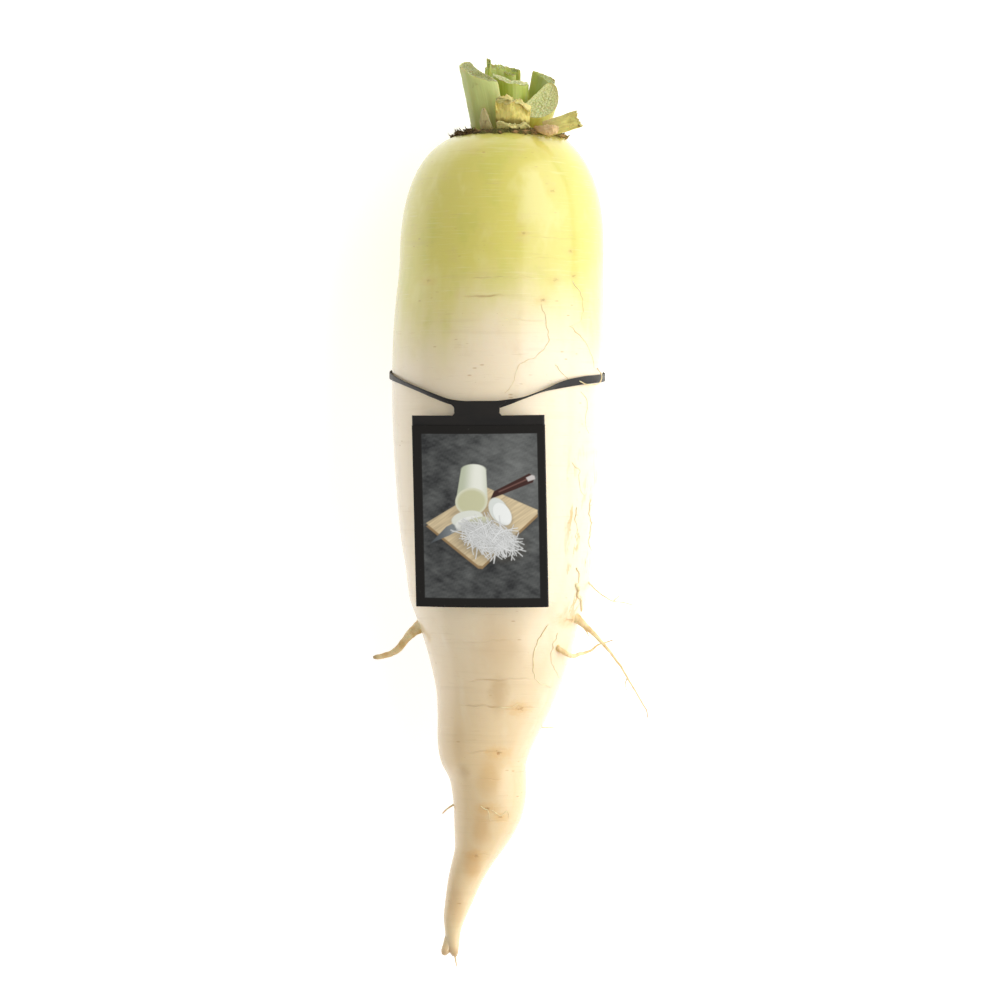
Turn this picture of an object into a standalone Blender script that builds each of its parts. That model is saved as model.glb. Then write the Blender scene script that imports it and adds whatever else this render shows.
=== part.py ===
"""Daikon radish lying on its belly: taproot, side roots, cut leaf stalks and a printed tag on an elastic loop.

Row frame, metres, +Z up. The root lies along Y with its crown at +Y, and the tag faces +Z.
The origin is below the middle of the whole object's bounding box, on the surface that the root rests on.
Angles round the root or the crown are measured from +Z (the side facing up) towards +X.
"""

import math

import bmesh
import bpy
import numpy as np
from mathutils import Matrix, Vector

MM = 0.001

# Driving dimensions.
CROWN_Y = 146.6 * MM  # flat seat of the leaf stalks
ROOT_LENGTH = 318.9 * MM  # from that seat to the end of the tip
ROOT_HALF_WIDTH = 40.6 * MM  # at the widest place
CROWN_SEAT_RADIUS = 18.5 * MM
GAP = 0.3 * MM  # clearance between neighbouring solids

# Shape of the taproot below its shoulder, as shares of ROOT_LENGTH and ROOT_HALF_WIDTH:
# distance from the crown, sideways shift of the axis, height of the axis, half width. Down to the middle the axis
# is lower than the half width, and what would reach below the surface is the flat belly.
ROOT_STATIONS = np.array(
    [
        (0.162, -0.099, 0.953, 0.971),
        (0.236, -0.126, 0.980, 0.998),
        (0.291, -0.138, 0.982, 1.000),
        (0.363, -0.138, 0.972, 0.990),
        (0.428, -0.128, 0.950, 0.968),
        (0.490, -0.123, 0.911, 0.929),
        (0.526, -0.108, 0.898, 0.897),
        (0.562, -0.123, 0.897, 0.845),
        (0.589, -0.123, 0.892, 0.769),
        (0.617, -0.113, 0.882, 0.707),
        (0.644, -0.116, 0.867, 0.648),
        (0.671, -0.135, 0.847, 0.586),
        (0.707, -0.190, 0.813, 0.518),
        (0.743, -0.256, 0.773, 0.446),
        (0.762, -0.264, 0.751, 0.404),
        (0.780, -0.227, 0.729, 0.369),
        (0.804, -0.214, 0.700, 0.350),
        (0.834, -0.238, 0.665, 0.314),
        (0.852, -0.274, 0.648, 0.274),
        (0.870, -0.322, 0.631, 0.228),
        (0.888, -0.392, 0.616, 0.195),
        (0.907, -0.450, 0.601, 0.165),
        (0.930, -0.503, 0.581, 0.136),
        (0.961, -0.562, 0.557, 0.094),
        (0.980, -0.568, 0.542, 0.066),
        (1.000, -0.542, 0.530, 0.027),
    ]
)
SHOULDER_POWER = 2.7  # of the superellipse that rounds the shoulder
SHOULDER_SHIFT = -0.072  # sideways shift of the shoulder's axis, share of the half width
SEAT_SHIFT = -0.020  # and of the crown seat's middle
SHOULDER_HEIGHT = 1.01  # height of the crown's middle, share of the half width

# The shallow hollow under the belly in which the elastic loop lies.
HOLLOW_Y = 57.5 * MM
HOLLOW_HALF_LENGTH = 12.0 * MM
HOLLOW_DEPTH = 1.4 * MM

# The tag: a printed front card and a back card on an elastic film, which ends in the loop.
TAG_WIDTH = 50.8 * MM
TAG_LENGTH = 72.4 * MM
TAG_HEADER = 3.4 * MM  # bare film above the cards
CARD_THICKNESS = 0.25 * MM
FILM_THICKNESS = 0.4 * MM
TAG_CENTRE = Vector((-12.5, 1.4, 77.5)) * MM
TAG_ROLL = math.radians(11.5)  # its right edge is the higher one
TAG_PITCH = math.radians(6.2)  # its header is the higher end
TAG_CURL_RADIUS = 150 * MM
NECK_HALF_WIDTH = 8.9 * MM
NECK_HEIGHT = 5.6 * MM

CROWN_CENTRE = Vector((-0.8, 146.6, 41.0)) * MM


def clear_scene():
    for obj in list(bpy.data.objects):
        bpy.data.objects.remove(obj, do_unlink=True)


def new_collection(name):
    collection = bpy.data.collections.new(name)
    bpy.context.scene.collection.children.link(collection)
    return collection


def material(name, colour, roughness, metallic=0.0):
    """A plain Principled BSDF of this colour."""
    made = bpy.data.materials.new(name)
    made.use_nodes = True
    shader = made.node_tree.nodes["Principled BSDF"]
    shader.inputs["Base Color"].default_value = (*colour, 1.0)
    shader.inputs["Roughness"].default_value = roughness
    shader.inputs["Metallic"].default_value = metallic
    return made


def smooth_between(x, xs, values):
    """Smooth curve through the values at xs: a cubic Hermite whose slope at each one is the mean slope there."""
    slopes = np.gradient(values, xs, axis=0)
    i = np.clip(np.searchsorted(xs, x) - 1, 0, len(xs) - 2)
    step = xs[i + 1] - xs[i]
    t = ((x - xs[i]) / step).reshape(-1, *[1] * (values.ndim - 1))
    step = step.reshape(t.shape)
    return (
        (2 * t**3 - 3 * t**2 + 1) * values[i]
        + (t**3 - 2 * t**2 + t) * step * slopes[i]
        + (3 * t**2 - 2 * t**3) * values[i + 1]
        + (t**3 - t**2) * step * slopes[i + 1]
    )


def root_rings(shoulder_rings, body_rings):
    """Rows of (y, axis x, axis z, half width) from the crown to the tip.

    The shoulder is a superellipse from the crown seat to the first station, which it meets with no kink.
    Below it the rows follow the stations, closer together towards the tip.
    """
    first = ROOT_STATIONS[0]
    seat = CROWN_SEAT_RADIUS / ROOT_HALF_WIDTH
    power = 2 / SHOULDER_POWER
    last_turn = math.acos((seat / first[3]) ** (1 / power))
    turn = np.linspace(last_turn, 0, shoulder_rings, endpoint=False)
    rise = np.sin(turn) ** power / math.sin(last_turn) ** power
    shoulder = np.column_stack(
        [
            first[0] * (1 - rise),
            first[1] + (SHOULDER_SHIFT - first[1]) * rise + (SEAT_SHIFT - SHOULDER_SHIFT) * rise**16,
            first[2] + (SHOULDER_HEIGHT - first[2]) * rise**2,
            first[3] * np.cos(turn) ** power,
        ]
    )
    along = first[0] + (1 - first[0]) * np.linspace(0, 1, body_rings) ** 0.85
    body = np.column_stack([along, smooth_between(along, ROOT_STATIONS[:, 0], ROOT_STATIONS[:, 1:])])
    rows = np.vstack([shoulder, body])
    return np.column_stack([CROWN_Y - rows[:, 0] * ROOT_LENGTH, rows[:, 1:] * ROOT_HALF_WIDTH])


def root_surface(rows, angles, grow=0.0):
    """Points on the taproot's skin, one ring of angles for each row: round sections, flat and hollowed below."""
    y, axis_x, axis_z, half = (rows[:, k : k + 1] for k in range(4))
    x = axis_x + (half + grow) * np.sin(angles)
    z = axis_z + (half + grow) * np.cos(angles)
    under = np.clip(-np.cos(angles), 0, 1) ** 8
    hollow = HOLLOW_DEPTH * np.exp(-(((y - HOLLOW_Y) / HOLLOW_HALF_LENGTH) ** 2)) * under
    z = np.maximum(z, -grow) + hollow
    return np.stack([x, y + 0 * z, z], axis=-1)


def skin_point(y, angle, lift):
    """The point this far off the skin, at this place along the root and this angle round it."""
    rows = root_rings(60, 400)
    row = np.array([[np.interp(-y, -rows[:, 0], rows[:, k]) for k in range(4)]])
    return Vector(root_surface(row, np.array([angle]), lift)[0, 0])


def add_object(name, mesh, finish, collection):
    """An object of this mesh, shaded smooth except across sharp edges."""
    obj = bpy.data.objects.new(name, mesh)
    collection.objects.link(obj)
    mesh.materials.append(finish)
    mesh.shade_smooth()
    mesh.set_sharp_from_angle(angle=math.radians(40))
    return obj


def loft(name, rings):
    """A closed mesh through rings of points, (rings, points, 3), with a flat cap on each end."""
    mesh = bpy.data.meshes.new(name)
    shaper = bmesh.new()
    loops = [[shaper.verts.new(point) for point in ring] for ring in rings]
    around = len(loops[0])
    for near, far in zip(loops, loops[1:]):
        for k in range(around):
            after = (k + 1) % around
            shaper.faces.new((near[k], near[after], far[after], far[k]))
    shaper.faces.new(loops[0])
    shaper.faces.new(loops[-1])
    bmesh.ops.recalc_face_normals(shaper, faces=shaper.faces)
    shaper.to_mesh(mesh)
    shaper.free()
    return mesh


def boolean(obj, other, operation):
    """Cuts, or joins, obj with another object and keeps the result as obj's own mesh."""
    step = obj.modifiers.new(operation.lower(), "BOOLEAN")
    step.operation = operation
    step.object = other
    step.solver = "EXACT"
    bpy.context.view_layer.update()
    result = bpy.data.meshes.new_from_object(obj.evaluated_get(bpy.context.evaluated_depsgraph_get()))
    obj.modifiers.clear()
    obj.data = result
    return obj


def as_cutter(obj):
    obj.hide_render = True
    obj.display_type = "WIRE"
    return obj


# ---------------------------------------------------------------- taproot and side roots

RING_POINTS = 36
TIP_FORK_Y = -160.5 * MM
TIP_FORK = [  # middle and radius of the second, stumpy branch at the tip
    ((-22.9, -158.5, 22.6), 2.3),
    ((-24.3, -165.0, 22.1), 1.9),
    ((-25.6, -168.8, 21.8), 1.7),
    ((-26.1, -171.0, 21.6), 1.1),
]

# Each side root: the points that its middle follows and its radius at each, in millimetres.
SIDE_ROOTS = {
    "side_root_left": [
        ((-33.0, -41.5, 36.5), 4.2),
        ((-36.6, -43.8, 35.9), 2.7),
        ((-39.4, -46.2, 35.2), 2.0),
        ((-41.9, -49.4, 34.2), 1.6),
        ((-44.6, -52.3, 33.0), 1.35),
        ((-47.8, -54.0, 31.9), 1.15),
        ((-51.0, -54.7, 31.1), 1.0),
        ((-53.9, -55.2, 30.6), 0.8),
    ],
    "side_root_right_long": [
        ((23.2, -38.6, 47.2), 2.7),
        ((26.6, -41.2, 47.4), 1.8),
        ((30.0, -44.2, 46.2), 1.15),
        ((33.9, -48.1, 43.6), 0.8),
        ((37.4, -52.3, 39.6), 0.6),
        ((41.6, -57.8, 33.0), 0.45),
        ((44.9, -63.2, 26.4), 0.38),
        ((48.1, -68.5, 19.6), 0.32),
        ((51.2, -73.9, 12.6), 0.28),
        ((53.1, -77.2, 8.4), 0.24),
        ((53.7, -80.0, 5.4), 0.2),
    ],
    "side_root_right_short": [
        ((16.9, -49.8, 54.0), 1.1),
        ((19.9, -52.6, 53.0), 0.95),
        ((23.6, -53.9, 48.4), 0.85),
        ((27.0, -53.0, 43.4), 0.7),
        ((30.4, -52.0, 40.4), 0.5),
        ((33.0, -50.2, 38.6), 0.38),
        ((36.0, -49.2, 37.2), 0.3),
        ((39.2, -48.2, 36.2), 0.22),
    ],
    "hair_root_right_upper": [
        ((29.4, -25.8, 47.6), 0.45),
        ((32.2, -28.4, 45.4), 0.36),
        ((35.4, -31.2, 42.4), 0.3),
        ((39.2, -33.0, 39.4), 0.26),
        ((43.2, -33.9, 37.0), 0.22),
        ((47.4, -34.9, 35.2), 0.18),
    ],
    "hair_root_right_lower": [
        ((8.4, -81.4, 35.8), 0.32),
        ((12.0, -81.9, 34.9), 0.26),
        ((14.4, -82.2, 34.0), 0.22),
        ((16.8, -82.4, 33.4), 0.18),
    ],
    "hair_root_left_lower": [
        ((-21.6, -111.6, 28.6), 0.5),
        ((-24.0, -113.0, 28.0), 0.42),
        ((-25.6, -114.4, 27.4), 0.34),
        ((-27.0, -115.9, 27.0), 0.26),
    ],
    "hair_root_tip": [
        ((-22.0, -171.0, 21.5), 0.5),
        ((-22.1, -173.4, 21.3), 0.36),
        ((-21.8, -175.0, 21.1), 0.26),
        ((-21.4, -176.3, 21.0), 0.2),
    ],
}


def make_taproot(finish, collection):
    """The root body with its forked tip, one solid."""
    angles = np.arange(RING_POINTS) * 2 * math.pi / RING_POINTS
    rings = root_surface(root_rings(8, 44), angles)
    root = add_object("taproot", loft("taproot", rings), finish, collection)
    branch = tube_object("tip_branch", TIP_FORK, finish, collection, sides=3)
    boolean(root, branch, "UNION")
    bpy.data.objects.remove(branch)
    root.data.shade_smooth()
    return root


def make_skin_cutter(finish, collection):
    """The taproot grown by the gap, which trims what starts on the skin."""
    angles = np.arange(2 * RING_POINTS) * math.pi / RING_POINTS
    rings = root_surface(root_rings(8, 44), angles, GAP)
    rings[0, :, 1] += GAP
    rings[-1, :, 1] -= GAP
    return as_cutter(add_object("skin_cutter", loft("skin_cutter", rings), finish, collection))


def tube_object(name, stations, finish, collection, sides=2):
    """A tapering tube along the stations, made from a bevelled curve and turned into a welded mesh."""
    line = bpy.data.curves.new(name, "CURVE")
    line.dimensions = "3D"
    line.bevel_depth = 1.0 * MM
    line.bevel_resolution = sides
    line.use_fill_caps = True
    middles = np.array([middle for middle, _ in stations]) * MM
    radii = np.array([radius for _, radius in stations])
    walked = np.concatenate([[0], np.cumsum(np.linalg.norm(np.diff(middles, axis=0), axis=1))])
    along = np.linspace(0, walked[-1], 2 * len(stations) - 1)
    fine = smooth_between(along, walked, middles)
    spline = line.splines.new("POLY")
    spline.points.add(len(fine) - 1)
    for point, middle, radius in zip(spline.points, fine, np.interp(along, walked, radii)):
        point.co = (*middle, 1.0)
        point.radius = radius
    curve = bpy.data.objects.new(name + "_line", line)
    collection.objects.link(curve)
    bpy.context.view_layer.update()
    mesh = bpy.data.meshes.new_from_object(curve.evaluated_get(bpy.context.evaluated_depsgraph_get()))
    bpy.data.objects.remove(curve)
    shaper = bmesh.new()
    shaper.from_mesh(mesh)
    bmesh.ops.remove_doubles(shaper, verts=shaper.verts, dist=0.001 * MM)
    bmesh.ops.recalc_face_normals(shaper, faces=shaper.faces)
    shaper.to_mesh(mesh)
    shaper.free()
    mesh.materials.clear()
    return add_object(name, mesh, finish, collection)


def make_side_roots(cutter, finish, collection):
    """Side roots and hair roots, each trimmed where it leaves the skin."""
    for name, stations in SIDE_ROOTS.items():
        boolean(tube_object(name, stations, finish, collection), cutter, "DIFFERENCE")


# ---------------------------------------------------------------- cut leaf stalks

STALK_POINTS = 20
STALK_RINGS = 5

# One knife cut takes all the stalks off: its height above the crown seat at the crown's axis, and its facing.
CUT_HEIGHT = 22.6 * MM
CUT_FACING = Vector((0.26, 1.0, 0.45)).normalized()
# Each stalk: angle round the crown (degrees), distance of its middle from the crown's axis, width, thickness,
# bulge of its crescent section, outward lean (degrees) and how far it stands above that cut. Millimetres.
LEAF_STALKS = {
    "leaf_stalk_left": (-57, 7.6, 16.5, 7.8, 4.6, 11, 1.0),
    "leaf_stalk_right": (54, 8.2, 15.5, 10.0, 3.6, 16, -0.8),
    "leaf_stalk_back_right": (128, 10.2, 12.0, 3.6, 3.4, 13, -1.2),
    "leaf_stalk_back_left": (-167, 10.2, 12.6, 3.6, 4.0, 5, -3.4),
    "leaf_stalk_middle": (2, 1.2, 12.5, 4.6, 3.4, 3, 0.0),
    "leaf_stalk_inner": (186, 4.2, 8.6, 2.6, 2.0, 1, 0.8),
    "young_leaf_bud": (0, -1.0, 4.2, 2.0, 0.3, 0, 0.6),
    "young_leaf_spike": (-106, 7.6, 3.6, 1.5, 0.4, 1, 3.6),
    "young_leaf_side": (108, 5.6, 4.2, 1.4, 0.5, 2, -2.6),
    "torn_leaf_base": (4, 14.6, 12.5, 1.8, 2.6, 9, -2.6),
    "small_leaf_scale": (-31, 17.0, 4.6, 0.9, 0.7, 6, -9.4),
    "back_leaf_scale": (178, 15.9, 7.0, 1.1, 1.4, 12, -25.0),
}
DRY_STUB_BASE = Vector((12.9, 146.6, 63.0)) * MM
DRY_STUB_WAY = Vector((0.955, 0.285, 0.04)).normalized()
DRY_STUB_FACING = Vector((-0.12, 0.20, 0.97))  # its rounded back
DRY_STUB_LENGTH = 13.4 * MM
DRY_STUB_SECTION = (6.0, 2.0, 1.6)  # width, thickness, bulge in millimetres
COLLAR_PROFILE = [  # radius and height above the crown seat of the ring of old leaf scars, in millimetres
    (19.3, 0.45),
    (21.6, -0.55),
    (24.0, -1.9),
    (23.4, -0.6),
    (21.6, 0.6),
    (19.4, 1.3),
]


def crescent(width, thickness, bulge):
    """Offsets across and outward of a crescent section: a bent ellipse with thin ends."""
    turn = np.arange(STALK_POINTS) * 2 * math.pi / STALK_POINTS
    across = width / 2 * np.cos(turn)
    outward = bulge * np.sin(turn) ** 2 + thickness / 2 * np.sin(turn)
    return across, outward


def stalk_rings(base, across_way, outward_way, way, section, cut_point, cut_facing):
    """Rings of a straight stalk from its base to a slanting cut, widening a little on the way up."""
    across, outward = section
    start = (
        np.array(base)
        + across[:, None] * np.array(across_way)
        + outward[:, None] * np.array(outward_way)
    )
    facing = np.array(cut_facing)
    length = (np.array(cut_point) - start) @ facing / (np.array(way) @ facing)
    rings = []
    for share in np.linspace(0, 1, STALK_RINGS):
        widened = 1 + 0.10 * share
        middle = start.mean(axis=0)
        rings.append(middle + (start - middle) * widened + share * length[:, None] * np.array(way))
    return np.array(rings)


def make_leaf_stalks(finishes, collection):
    """The stalks, the young leaves between them and the scales round them, all cut by planes of one facing."""
    for name, (degrees, distance, width, thickness, bulge, lean, above) in LEAF_STALKS.items():
        angle, tilt = math.radians(degrees), math.radians(lean)
        outward = Vector((math.sin(angle), 0, math.cos(angle)))
        across = Vector((math.cos(angle), 0, -math.sin(angle)))
        way = outward * math.sin(tilt) + Vector((0, math.cos(tilt), 0))
        base = CROWN_CENTRE + outward * distance * MM + Vector((0, GAP, 0))
        section = crescent(width * MM, thickness * MM, bulge * MM)
        cut_point = CROWN_CENTRE + Vector((0, CUT_HEIGHT + above * MM, 0))
        rings = stalk_rings(base, across, outward, way, section, cut_point, CUT_FACING)
        finish = finishes["dry"] if "scale" in name or "torn" in name else finishes["green"]
        add_object(name, loft(name, rings), finish, collection)


def make_dry_stub(finish, collection):
    """The withered stalk that lies over the shoulder on the right, a trough open below."""
    outward = (DRY_STUB_FACING - DRY_STUB_WAY * DRY_STUB_FACING.dot(DRY_STUB_WAY)).normalized()
    across = DRY_STUB_WAY.cross(outward)
    section = crescent(*(size * MM for size in DRY_STUB_SECTION))
    end = DRY_STUB_BASE + DRY_STUB_WAY * DRY_STUB_LENGTH
    rings = stalk_rings(DRY_STUB_BASE, across, outward, DRY_STUB_WAY, section, end, DRY_STUB_WAY)
    add_object("dry_leaf_stub", loft("dry_leaf_stub", rings), finish, collection)


def make_leaf_scar_collar(finish, collection):
    """The brown ring of old leaf scars round the stalks, turned about the crown's axis."""
    shaper = bmesh.new()
    corners = [shaper.verts.new((radius * MM, 0, height * MM)) for radius, height in COLLAR_PROFILE]
    for here, after in zip(corners, corners[1:] + corners[:1]):
        shaper.edges.new((here, after))
    mesh = bpy.data.meshes.new("leaf_scar_collar")
    shaper.to_mesh(mesh)
    shaper.free()
    collar = add_object("leaf_scar_collar", mesh, finish, collection)
    collar.matrix_world = Matrix.Translation(CROWN_CENTRE) @ Matrix.Rotation(-math.pi / 2, 4, "X")
    turned = collar.modifiers.new("turned", "SCREW")
    turned.axis = "Z"
    turned.steps = 32
    turned.render_steps = 32
    turned.use_merge_vertices = True
    turned.merge_threshold = 0.01 * MM
    turned.use_normal_calculate = True
    turned.use_normal_flip = True


# ---------------------------------------------------------------- tag and elastic loop

CARD_COLUMNS = 8
LOOP_WIDTH = 3.4 * MM
LOOP_LIFT = 0.6 * MM  # of the film's middle above the skin
# The loop's way round the root, from the neck's left corner over the left edge and the belly to its right corner:
# angle round the root (degrees), place along it, extra lift off the skin (millimetres), twist of the film (degrees).
LOOP_STATIONS = np.array(
    [
        (-14, 41.3, 2.1, 2),
        (-24, 42.3, 1.9, 6),
        (-34, 44.6, 1.2, 14),
        (-46, 47.6, 0.7, 24),
        (-60, 50.2, 0.5, 18),
        (-75, 52.4, 0.4, 6),
        (-90, 53.9, 0.2, 0),
        (-112, 55.6, 0.0, 0),
        (-140, 57.0, 0.1, 0),
        (-165, 57.5, 0.15, 0),
        (-180, 57.5, 0.15, 0),
        (-195, 57.5, 0.15, 0),
        (-220, 57.0, 0.1, 0),
        (-248, 55.0, 0.0, 0),
        (-270, 52.9, 0.2, 0),
        (-290, 51.6, 0.2, 0),
        (-310, 50.2, 0.3, 4),
        (-326, 48.6, 0.6, 16),
        (-338, 46.4, 1.2, 40),
        (-349, 43.6, 1.9, 34),
        (-358, 41.9, 2.4, 8),
        (-366, 41.0, 2.4, 0),
    ]
)


def tag_place(across, up, off):
    """World point of a place on the tag: across and up its face from its centre, and off its middle surface."""
    sag = across**2 / (2 * TAG_CURL_RADIUS)
    right = np.array((math.cos(TAG_ROLL), 0, math.sin(TAG_ROLL)))
    facing = np.array((-math.sin(TAG_ROLL), 0, math.cos(TAG_ROLL)))
    head = np.array((0, math.cos(TAG_PITCH), 0)) + facing * math.sin(TAG_PITCH)
    facing = facing * math.cos(TAG_PITCH) - np.array((0, math.sin(TAG_PITCH), 0))
    middle = np.array(TAG_CENTRE)
    return middle + across[..., None] * right + up[..., None] * head + (off - sag)[..., None] * facing


def make_card(name, half_width, low, high, off, thickness, finish, collection):
    """A thin rectangular card bent to the tag's curl."""
    shaper = bmesh.new()
    bmesh.ops.create_cube(shaper, size=1.0)
    stretch = Matrix.Diagonal((2 * half_width, high - low, thickness, 1.0))
    bmesh.ops.transform(shaper, matrix=stretch, verts=shaper.verts)
    lengthwise = [e for e in shaper.edges if abs(e.verts[0].co.x - e.verts[1].co.x) > half_width]
    bmesh.ops.subdivide_edges(shaper, edges=lengthwise, cuts=CARD_COLUMNS - 1, use_grid_fill=True)
    for vertex in shaper.verts:
        x, y, z = (np.float64(c) for c in vertex.co)
        vertex.co = tag_place(x, y + (low + high) / 2, z + off)
    mesh = bpy.data.meshes.new(name)
    shaper.to_mesh(mesh)
    shaper.free()
    return add_object(name, mesh, finish, collection)


def loop_rings():
    """Rectangles across the film along the loop, each lying on the skin and turned by its twist."""
    steps = np.linspace(LOOP_STATIONS[0, 0], LOOP_STATIONS[-1, 0], 97)
    path = smooth_between(-steps, -LOOP_STATIONS[:, 0], LOOP_STATIONS[:, 1:])
    middles = []
    for degrees, (y, lift, _) in zip(steps, path):
        middles.append(skin_point(y * MM, math.radians(degrees), LOOP_LIFT + lift * MM))
    middles = np.array(middles)
    ways = np.gradient(middles, axis=0)
    ways /= np.linalg.norm(ways, axis=1)[:, None]
    rings = []
    for middle, way, degrees, twist in zip(middles, ways, steps, path[:, 2]):
        out = Vector((math.sin(math.radians(degrees)), 0, math.cos(math.radians(degrees))))
        way = Vector(way)
        out = (out - way * out.dot(way)).normalized()
        out = Matrix.Rotation(math.radians(twist), 3, way) @ out
        side = way.cross(out)
        half, thin = LOOP_WIDTH / 2, FILM_THICKNESS / 2
        corners = [(-half, -thin), (half, -thin), (half, thin), (-half, thin)]
        rings.append([Vector(middle) + side * a + out * b for a, b in corners])
    return rings


def make_elastic_loop(finish, collection):
    """The die-cut film: tongue between the cards, header, neck and loop, one solid."""
    top = TAG_LENGTH / 2
    film = make_card(
        "tag_elastic_loop", TAG_WIDTH / 2, top - TAG_HEADER, top, 0.0, FILM_THICKNESS, finish, collection
    )
    tongue = make_card(
        "film_tongue", TAG_WIDTH / 2 - 4 * MM, top - 18 * MM, top - 1.5 * MM, 0.0, 0.9 * FILM_THICKNESS,
        finish, collection,
    )
    neck = make_card(
        "film_neck", NECK_HALF_WIDTH, top - 1.5 * MM, top + NECK_HEIGHT, 0.0, 1.1 * FILM_THICKNESS,
        finish, collection,
    )
    loop = add_object("film_loop", loft("film_loop", loop_rings()), finish, collection)
    for piece in (tongue, neck, loop):
        boolean(film, piece, "UNION")
        bpy.data.objects.remove(piece)
    return film


def make_tag(finishes, collection):
    card_top = TAG_LENGTH / 2 - TAG_HEADER - GAP
    off = FILM_THICKNESS / 2 + GAP + CARD_THICKNESS / 2
    for name, side in (("tag_front_card", 1), ("tag_back_card", -1)):
        make_card(
            name, TAG_WIDTH / 2, -TAG_LENGTH / 2, card_top, side * off, CARD_THICKNESS,
            finishes["card"], collection,
        )
    make_elastic_loop(finishes["film"], collection)


def main():
    clear_scene()
    parts = new_collection("daikon_radish")
    cutters = new_collection("cutters")
    finishes = {
        "skin": material("radish_skin", (0.86, 0.79, 0.62), 0.42),
        "side": material("side_root_skin", (0.80, 0.66, 0.40), 0.5),
        "green": material("leaf_stalk_green", (0.42, 0.55, 0.16), 0.4),
        "dry": material("dry_leaf", (0.58, 0.50, 0.20), 0.7),
        "scar": material("leaf_scar_brown", (0.22, 0.15, 0.07), 0.85),
        "card": material("tag_card_black", (0.015, 0.014, 0.012), 0.3),
        "film": material("elastic_film_black", (0.012, 0.012, 0.013), 0.38),
    }
    make_taproot(finishes["skin"], parts)
    cutter = make_skin_cutter(finishes["skin"], cutters)
    make_side_roots(cutter, finishes["side"], parts)
    make_leaf_stalks(finishes, parts)
    make_dry_stub(finishes["dry"], parts)
    make_leaf_scar_collar(finishes["scar"], parts)
    make_tag(finishes, parts)


main()
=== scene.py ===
"""Looks of the daikon radish: skin, side roots, cut leaf stalks, and the tag on its elastic loop.

Lengths named without a unit are in metres, and tables are in millimetres, in the model's own frame:
the root lies along Y with its crown at +Y, and the tag faces +Z.
"""

import functools
import math

import bpy
import numpy as np
from mathutils import Matrix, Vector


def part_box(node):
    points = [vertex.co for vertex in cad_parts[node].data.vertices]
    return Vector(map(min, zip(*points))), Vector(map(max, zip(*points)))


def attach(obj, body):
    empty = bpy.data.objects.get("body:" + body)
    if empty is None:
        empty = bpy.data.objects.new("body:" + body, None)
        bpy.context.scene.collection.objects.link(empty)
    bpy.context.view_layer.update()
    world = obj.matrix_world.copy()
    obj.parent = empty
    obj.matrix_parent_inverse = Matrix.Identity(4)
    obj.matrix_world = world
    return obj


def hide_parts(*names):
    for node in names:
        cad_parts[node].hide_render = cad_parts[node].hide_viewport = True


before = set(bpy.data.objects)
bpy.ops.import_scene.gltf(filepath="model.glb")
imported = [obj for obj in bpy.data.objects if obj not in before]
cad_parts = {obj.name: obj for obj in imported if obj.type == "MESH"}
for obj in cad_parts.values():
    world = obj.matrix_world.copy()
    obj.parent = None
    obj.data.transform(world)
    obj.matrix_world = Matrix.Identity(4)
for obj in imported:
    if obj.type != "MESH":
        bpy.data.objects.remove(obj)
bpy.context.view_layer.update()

MM = 0.001
TURN = 2 * math.pi


# ---------------------------------------------------------------- numbers and fields


def smooth_step(low, high, x):
    """0 below low, 1 above high, and an S curve between them."""
    t = np.clip((x - low) / (high - low), 0, 1)
    return t * t * (3 - 2 * t)


def smooth_between(x, xs, values):
    """Smooth curve through the values at xs: a cubic Hermite whose slope at each one is the mean slope there."""
    slopes = np.gradient(values, xs, axis=0)
    i = np.clip(np.searchsorted(xs, x) - 1, 0, len(xs) - 2)
    shape = (-1,) + (1,) * (values.ndim - 1)
    step = (xs[i + 1] - xs[i]).reshape(shape)
    t = (x - xs[i]).reshape(shape) / step
    return (
        (2 * t**3 - 3 * t**2 + 1) * values[i]
        + (t**3 - 2 * t**2 + t) * step * slopes[i]
        + (3 * t**2 - 2 * t**3) * values[i + 1]
        + (t**3 - t**2) * step * slopes[i + 1]
    )


def ripple(points, wavelength, seed, stretch=(1, 1, 1), waves=20):
    """A smooth random field, mostly between -1 and 1: a sum of sine waves of about this length in seeded directions."""
    random = np.random.default_rng(seed)
    ways = random.normal(size=(waves, 3))
    ways /= np.linalg.norm(ways, axis=1)[:, None] * wavelength * random.uniform(0.7, 1.5, (waves, 1))
    phases = random.uniform(0, TURN, waves)
    flat = np.reshape(points, (-1, 3)) / np.array(stretch)
    return (np.sin(flat @ ways.T * TURN + phases).sum(-1) / math.sqrt(waves)).reshape(np.shape(points)[:-1])


def hump(x, middle, width):
    """A smooth bump of height 1 that falls to 0.37 at this distance from its middle."""
    return np.exp(-(((x - middle) / width) ** 2))


def unit(v):
    return v / np.linalg.norm(v, axis=-1, keepdims=True)


# ---------------------------------------------------------------- meshes


def grid_faces(rows, around, first):
    """Corner numbers of the four-sided faces of a grid whose last column joins its first."""
    here = first + np.arange(rows * around).reshape(rows, around)
    after = np.roll(here, -1, axis=1)
    return np.stack([here[:-1], after[:-1], after[1:], here[1:]], axis=-1).reshape(-1, 4)


def inside_out(points):
    """Whether a closed grid's volume, summed from its faces against its middle, comes out negative."""
    here = points - points.reshape(-1, 3).mean(axis=0)
    after = np.roll(here, -1, axis=1)
    a, b, c, d = here[:-1], after[:-1], after[1:], here[1:]
    return np.sum(a * np.cross(b, c)) + np.sum(a * np.cross(c, d)) < 0


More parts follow.
